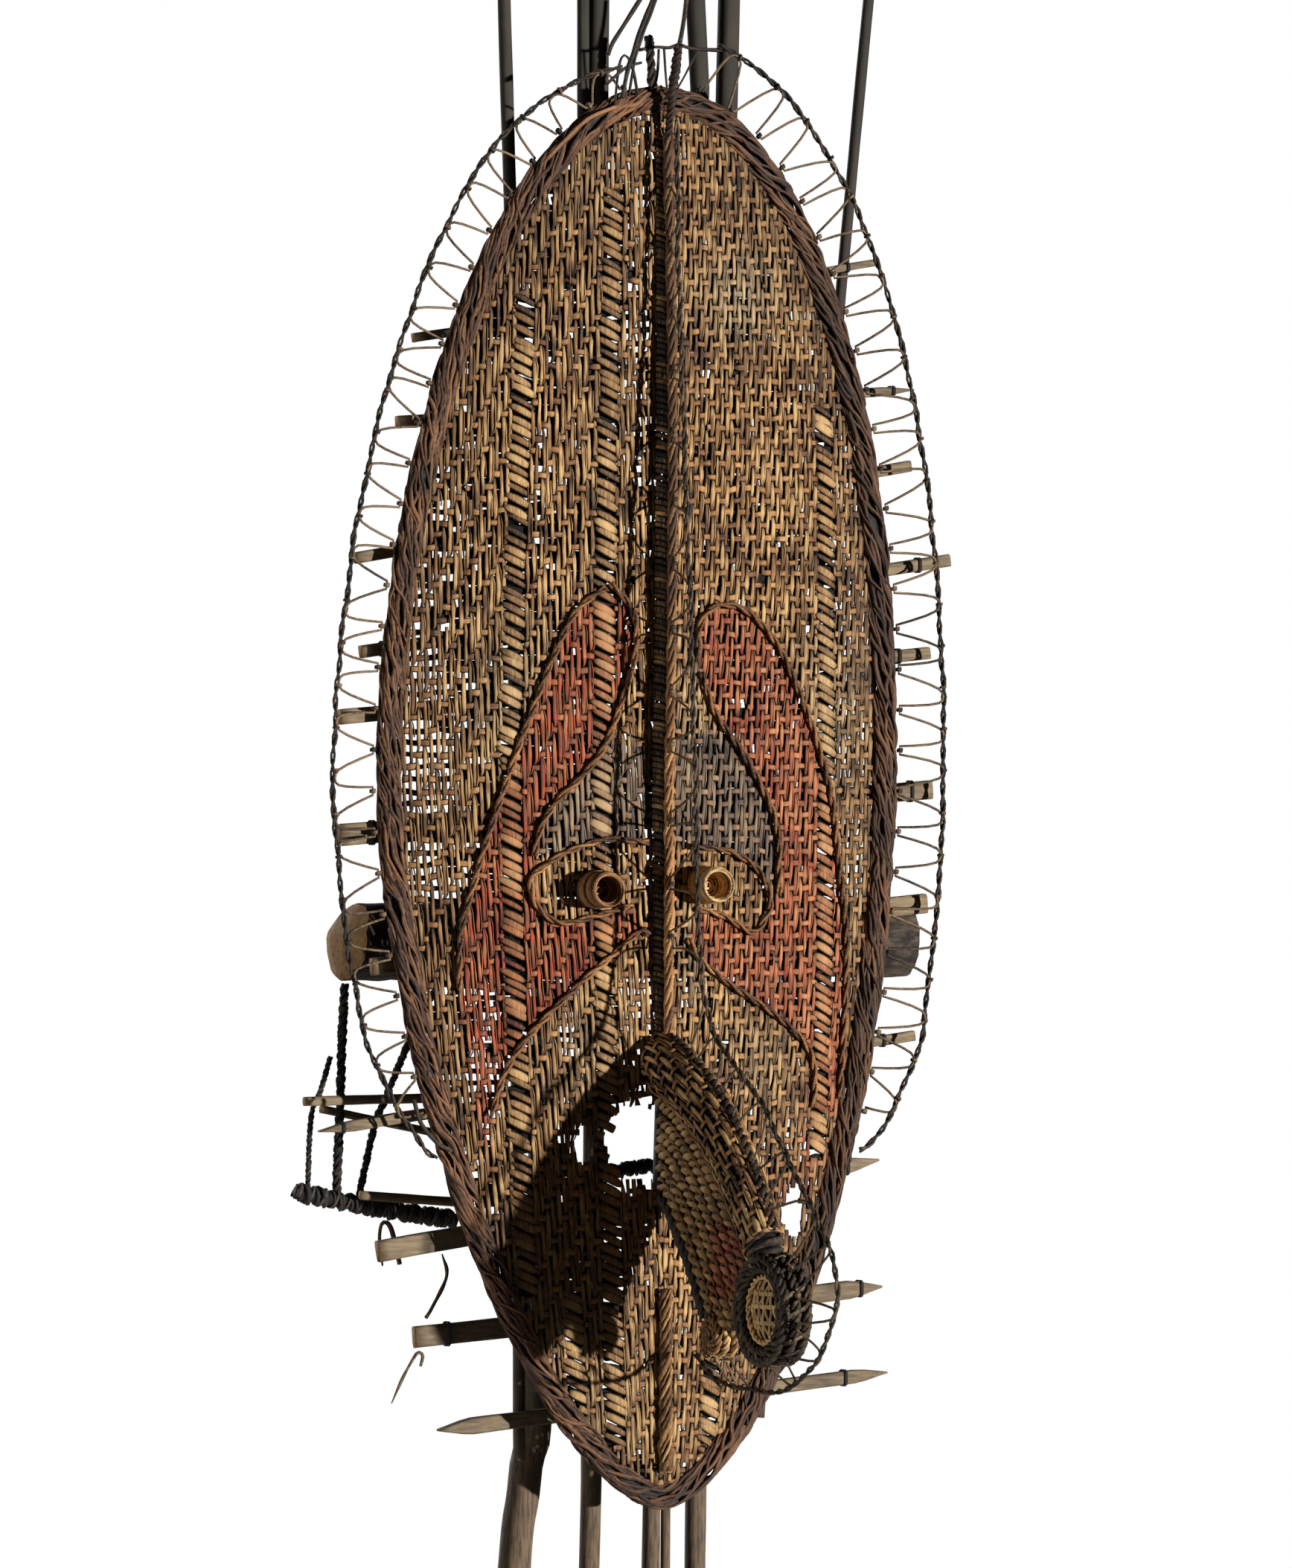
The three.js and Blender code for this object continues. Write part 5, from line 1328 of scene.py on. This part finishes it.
# Its left end is chopped along two planes: how far each one slants, and where it starts
CHOP_DOWN, CHOP_DOWN_FROM = 0.55, 8
CHOP_BACK, CHOP_BACK_FROM = 0.25, 40


def cross_beam():
    """A log with its bark on. No point of its chopped end falls short of the two planes, each of which has
    x = left + slant (way past its start), with z or -y as the way."""
    left, right = at_depth(BEAM_ENDS_PX, -BEAM_RADIUS)[:, 0]
    x = left + np.concatenate([[0, 0.01, 0.02, 0.03], np.linspace(6, right - left, 90)])
    path = np.stack([x, 0 * x - BEAM_RADIUS, 0 * x], -1)
    thick = BEAM_RADIUS * 0.975 * np.concatenate([[0.02, 0.35, 0.7, 1], np.ones(90)])
    log = Basketry("cross_beam_log")
    log.strands(path, FRONT, thick, thick, lumpy(36, len(path), 2.0, 0.035, 3, 880), tone=0.5, cut_skin=1)
    points, sides = log.points[0], log.faces[0]
    facet = (left + np.maximum(CHOP_DOWN * (points[:, 2] - CHOP_DOWN_FROM), 0)
             + np.maximum(CHOP_BACK * (-points[:, 1] - CHOP_BACK_FROM), 0))
    cut = points[:, 0] <= facet + 0.05
    points[:, 0] = np.maximum(points[:, 0], facet)
    log.skin[0] = np.where(cut[sides].all(1), 1, 0)
    log.make([BARK, CUT_WOOD], "beam_wood", "cross_beam")


# Cords and lashings

RACK_Y = -BEAM_RADIUS
WRAPPED_BAR_PX = [[397, 1602], [500, 1622], [612, 1640]]
INNER_BAR_PX = [[815, 1575], [908, 1561]]

# Cords: pixels down each, radius, whether it hangs from the beam, and seed
CORDS = {
    "rack_cord_long": ([[463, 1325], [459, 1410], [457, 1487], [452, 1600]], 5.2, True, 920),
    "rack_cord_left": ([[444, 1420], [430, 1468], [418, 1502], [413, 1604]], 3.2, False, 930),
    "rack_cord_right": ([[590, 1325], [556, 1385], [519, 1474], [503, 1514], [481, 1614]], 4.2, True, 940),
    "inner_cord": ([[884, 1320], [886, 1440], [884, 1566]], 4.2, True, 950),
}
# Plain sticks of the rack: pixels at the two ends, radius, and how far behind its middle
RACK_STICKS = {
    "rack_top_stick": ([[409, 1480], [600, 1475]], 4.5, -10.2),
    "rack_cross_stick": ([[431, 1490], [583, 1522]], 4, 10.2),
    "rack_side_stick": ([[484, 1606], [621, 1616]], 4.5, -15),
}
# Broken ends of vine: pixels, depth and radius
LOOSE_ENDS = {
    "strand_rack": ([[514, 1701], [510, 1668], [512, 1647], [518, 1642], [525, 1650], [531, 1672],
                     [537, 1699]], RACK_Y, 2.2),
    "strand_lath_9": ([[594, 1685], [600, 1715], [580, 1758], [572, 1771]], LATH_MIDDLE, 1.8),
    "strand_lath_10": ([[526, 1886], [542, 1850], [557, 1823], [563, 1817], [568, 1822], [565, 1836]],
                       LATH_MIDDLE, 1.6),
}
CORD_TOP = -BEAM_RADIUS - 2.5


def wrapped_bar(name, pixels, radius, seed):
    """A stick hidden by turns of cord, close in some places and loose in others."""
    bar = Basketry(name + "_wrapping")
    path = even_run(at_depth(pixels, RACK_Y), 4)
    # The stick under the cord is painted dark, as shade between the turns
    bar.strands(path, FRONT, radius * 0.7, radius * 0.7, ring_section(10), tone=0.0, light=0.4)
    for turn in range(3):
        reach = radius * (0.74 + 0.06 * turn)
        lines, away = wound(path, FRONT, reach, reach, 9 + 4 * turn, (turn * 2.1,), 1 - 2 * (turn % 2), 12)
        thick = radius * 0.2 * drift(lines, 1, 0.35, 7, seed + turn)
        bar.strands(lines, away, thick, thick, seed=seed + turn)
    bar.make([CORD], "knotted_cord", name)


def knotted_cord(name, pixels, radius, from_beam, seed):
    """A twisted cord with a swelling, bound round, wherever it has been knotted."""
    ends = at_depth(pixels, RACK_Y)
    if from_beam:
        ends[0, 2] = CORD_TOP
    path = smooth_run(ends, 4)
    cord = Basketry(name + "_strands")
    cord.rope(path, FRONT, radius * 0.92, 3, radius * 5, seed, 0.25)
    knots = np.arange(0.12, 0.98, 22 / run_length(path)[-1])
    place, run = on_line(path, knots)
    rings(cord, place, run, radius * 0.72, radius * 0.32, seed)
    cord.make([CORD], "knotted_cord", name)


def rack():
    """The rack that hangs from the beam's left end, and what is seen through the hole under the nose."""
    wrapped_bar("rack_bar", WRAPPED_BAR_PX, 9.6, 900)
    wrapped_bar("inner_bar", INNER_BAR_PX, 7.8, 910)
    for name, spec in CORDS.items():
        knotted_cord(name, *spec)
    for number, (name, (pixels, radius, behind)) in enumerate(RACK_STICKS.items()):
        path = even_run(at_depth(pixels, RACK_Y + behind), 8)
        stick(name, "wood", LATH_WOOD, path, radius, radius, lumpy(14, len(path), 2.4, 0.07, 3, 960 + number))


def loose_strands():
    """Broken ends of vine, thinning out, and the ties that join the first lath to the rim."""
    for number, (name, (pixels, y, radius)) in enumerate(LOOSE_ENDS.items()):
        path = smooth_run(at_depth(pixels, y), 3)
        strand = Basketry(name + "_vine")
        thick = radius * np.clip(np.linspace(0.4, 3, len(path)), 0, 1) * drift(path, 1, 0.2, 4, number)
        strand.strands(path, FRONT, thick, thick)
        strand.make([DARK_VINE], "dark_cane", name)
    for side, name in ((-1, "rim_tie_left"), (1, "rim_tie_right")):
        low, high = (np.array(corner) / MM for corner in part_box(name))
        middle = (low + high) / 2
        ends = np.array([[middle[0], low[1], middle[2]], [middle[0], high[1], middle[2]]])
        tie = Basketry(name + "_wrapping")
        tie.rope(even_run(ends, 2), UP, 3.9, 3, 14, 970 + side)
        tie.make([DARK_VINE], "dark_cane", name)


# The wrapped stem's foot, bend and top, as height and distance behind its start
STEM = ((782, 0), (806, 3), (850, 10))
# Vines over the mask's top: pixels and radius
TOP_VINES = [([[859, 67], [879, 63], [899, 64], [912, 60], [929, 65], [960, 67], [974, 66]], 2.0),
             ([[826, 142], [832, 88], [840, 74], [850, 92], [857, 128]], 1.5),
             ([[815, 113], [842, 90], [862, 84]], 1.4), ([[885, 66], [884, 90], [881, 110], [875, 120]], 1.3),
             ([[892, 62], [894, 95], [896, 119]], 1.3), ([[938, 66], [922, 98], [909, 121]], 1.2),
             ([[817, 74], [823, 58], [840, 31], [862, -4]], 2.0),
             ([[836, 132], [844, 92], [851, 73], [858, 48], [867, 25], [878, -4]], 2.2),
             ([[845, 128], [850, 98], [854, 76], [863, 48], [873, 22], [882, -4]], 1.6),
             ([[912, 64], [915, 50], [919, 27], [923, -4]], 2.6)]


def top_finial():
    """The wrapped stem behind the top, and the thin vines that rise over it."""
    finial = Basketry("top_finial_strands")
    back = rim_y(MASK_TOP) + RIM_DEPTH / 2 + 7.8
    path = smooth_run([[0, back + behind, z] for z, behind in STEM], 4)
    finial.rope(path, FRONT, 4.8, 3, 30, 980, 0.35, tone=0.15)
    for number, (pixels, radius) in enumerate(TOP_VINES):
        vine = smooth_run(at_depth(pixels, rim_y(MASK_TOP) - 8), 4)
        finial.strands(vine, FRONT, radius * drift(vine, 1, 0.25, 4, 985 + number), radius, tone=0.2)
    finial.make([DARK_VINE], "dark_cane", "top_finial")


# Stage

FLOOR_RADIUS = 0.9
FLOOR_CORNERS = 96


def lamp(name, energy, spread_degrees, towards):
    """A far lamp, whose light goes one way and softens by its spread."""
    data = bpy.data.lights.new(name, "SUN")
    data.energy = energy
    data.angle = math.radians(spread_degrees)
    made = bpy.data.objects.new(name, data)
    away = -unit(np.array(towards))
    made.rotation_euler = (math.acos(away[2]), 0, math.atan2(away[0], -away[1]))
    bpy.context.scene.collection.objects.link(made)
    return made


def light_only(source, pieces):
    """Lets a lamp reach these pieces and no others."""
    reached = bpy.data.collections.new(source.name + "_reaches")
    for piece in pieces:
        reached.objects.link(piece)
    source.light_linking.receiver_collection = reached


def round_floor():
    """A pale round floor just under the poles' feet."""
    angle = spread(FLOOR_CORNERS)
    level = np.full(FLOOR_CORNERS, POLE_FOOT * MM - 0.0005)
    ring = np.stack([FLOOR_RADIUS * np.cos(angle), FLOOR_RADIUS * np.sin(angle) - 0.1, level], -1)
    mesh = bpy.data.meshes.new("floor")
    mesh.from_pydata(ring.tolist(), [], [list(range(FLOOR_CORNERS))])
    material = bpy.data.materials.new("pale_matt_floor")
    material.use_nodes = True
    finish = material.node_tree.nodes["Principled BSDF"].inputs
    finish["Base Color"].default_value = (0.85, 0.85, 0.84, 1)
    finish["Roughness"].default_value = 0.9
    mesh.materials.append(material)
    floor = bpy.data.objects.new("floor", mesh)
    bpy.context.scene.collection.objects.link(floor)
    floor.visible_diffuse = False
    return floor


def white_surroundings():
    """White to the camera, and a weak light from every side."""
    world = bpy.data.worlds.new("studio")
    bpy.context.scene.world = world
    world.use_nodes = True
    tree = world.node_tree
    tree.nodes.clear()
    ray = node(tree, "LightPath").outputs["Is Camera Ray"]
    strength = node(tree, "MapRange", {"Value": ray, "To Min": 0.028, "To Max": 1.0}).outputs[0]
    light = node(tree, "Background", {"Color": (1, 1, 1, 1), "Strength": strength})
    node(tree, "OutputWorld", {"Surface": light.outputs[0]})
    bpy.context.scene.view_settings.view_transform = "Standard"


def lamps(floor):
    """A strong key lamp from the front right, weak ones from the left and from behind, and one from overhead
    that lights the floor alone. The one from the left leaves out the face."""
    lamp("key", 5.2, 1.5, (-0.5, 0.866, 0.0))
    off_face = [piece for piece in bpy.data.objects
                if piece.type == "MESH" and not piece.name.startswith("face_")]
    light_only(lamp("fill", 0.9, 30, (0.99, 0.02, 0.14)), off_face)
    lamp("back", 1.6, 20, (0.12, -0.95, -0.28))
    light_only(lamp("overhead", 2.6, 40, (0.0, 0.0, -1.0)), [floor])


woven_face()
face_lining()
face_ribs()
rim_bundle()
halo(-1, 22, "halo_left", 420)
halo(1, HOOP_OUT, "halo_right", 430)
border_canes()
nose_ridge()
chin_rope()
for cup_name, cup_spec in EYE_CUPS.items():
    eye_cup(cup_name, *cup_spec)
nose_trunk()
nose_web()
nose_scroll()
scroll_disc()
small_scroll()
nose_halo()
poles()
laths()
cross_beam()
rack()
loose_strands()
top_finial()
floor = round_floor()
white_surroundings()
lamps(floor)
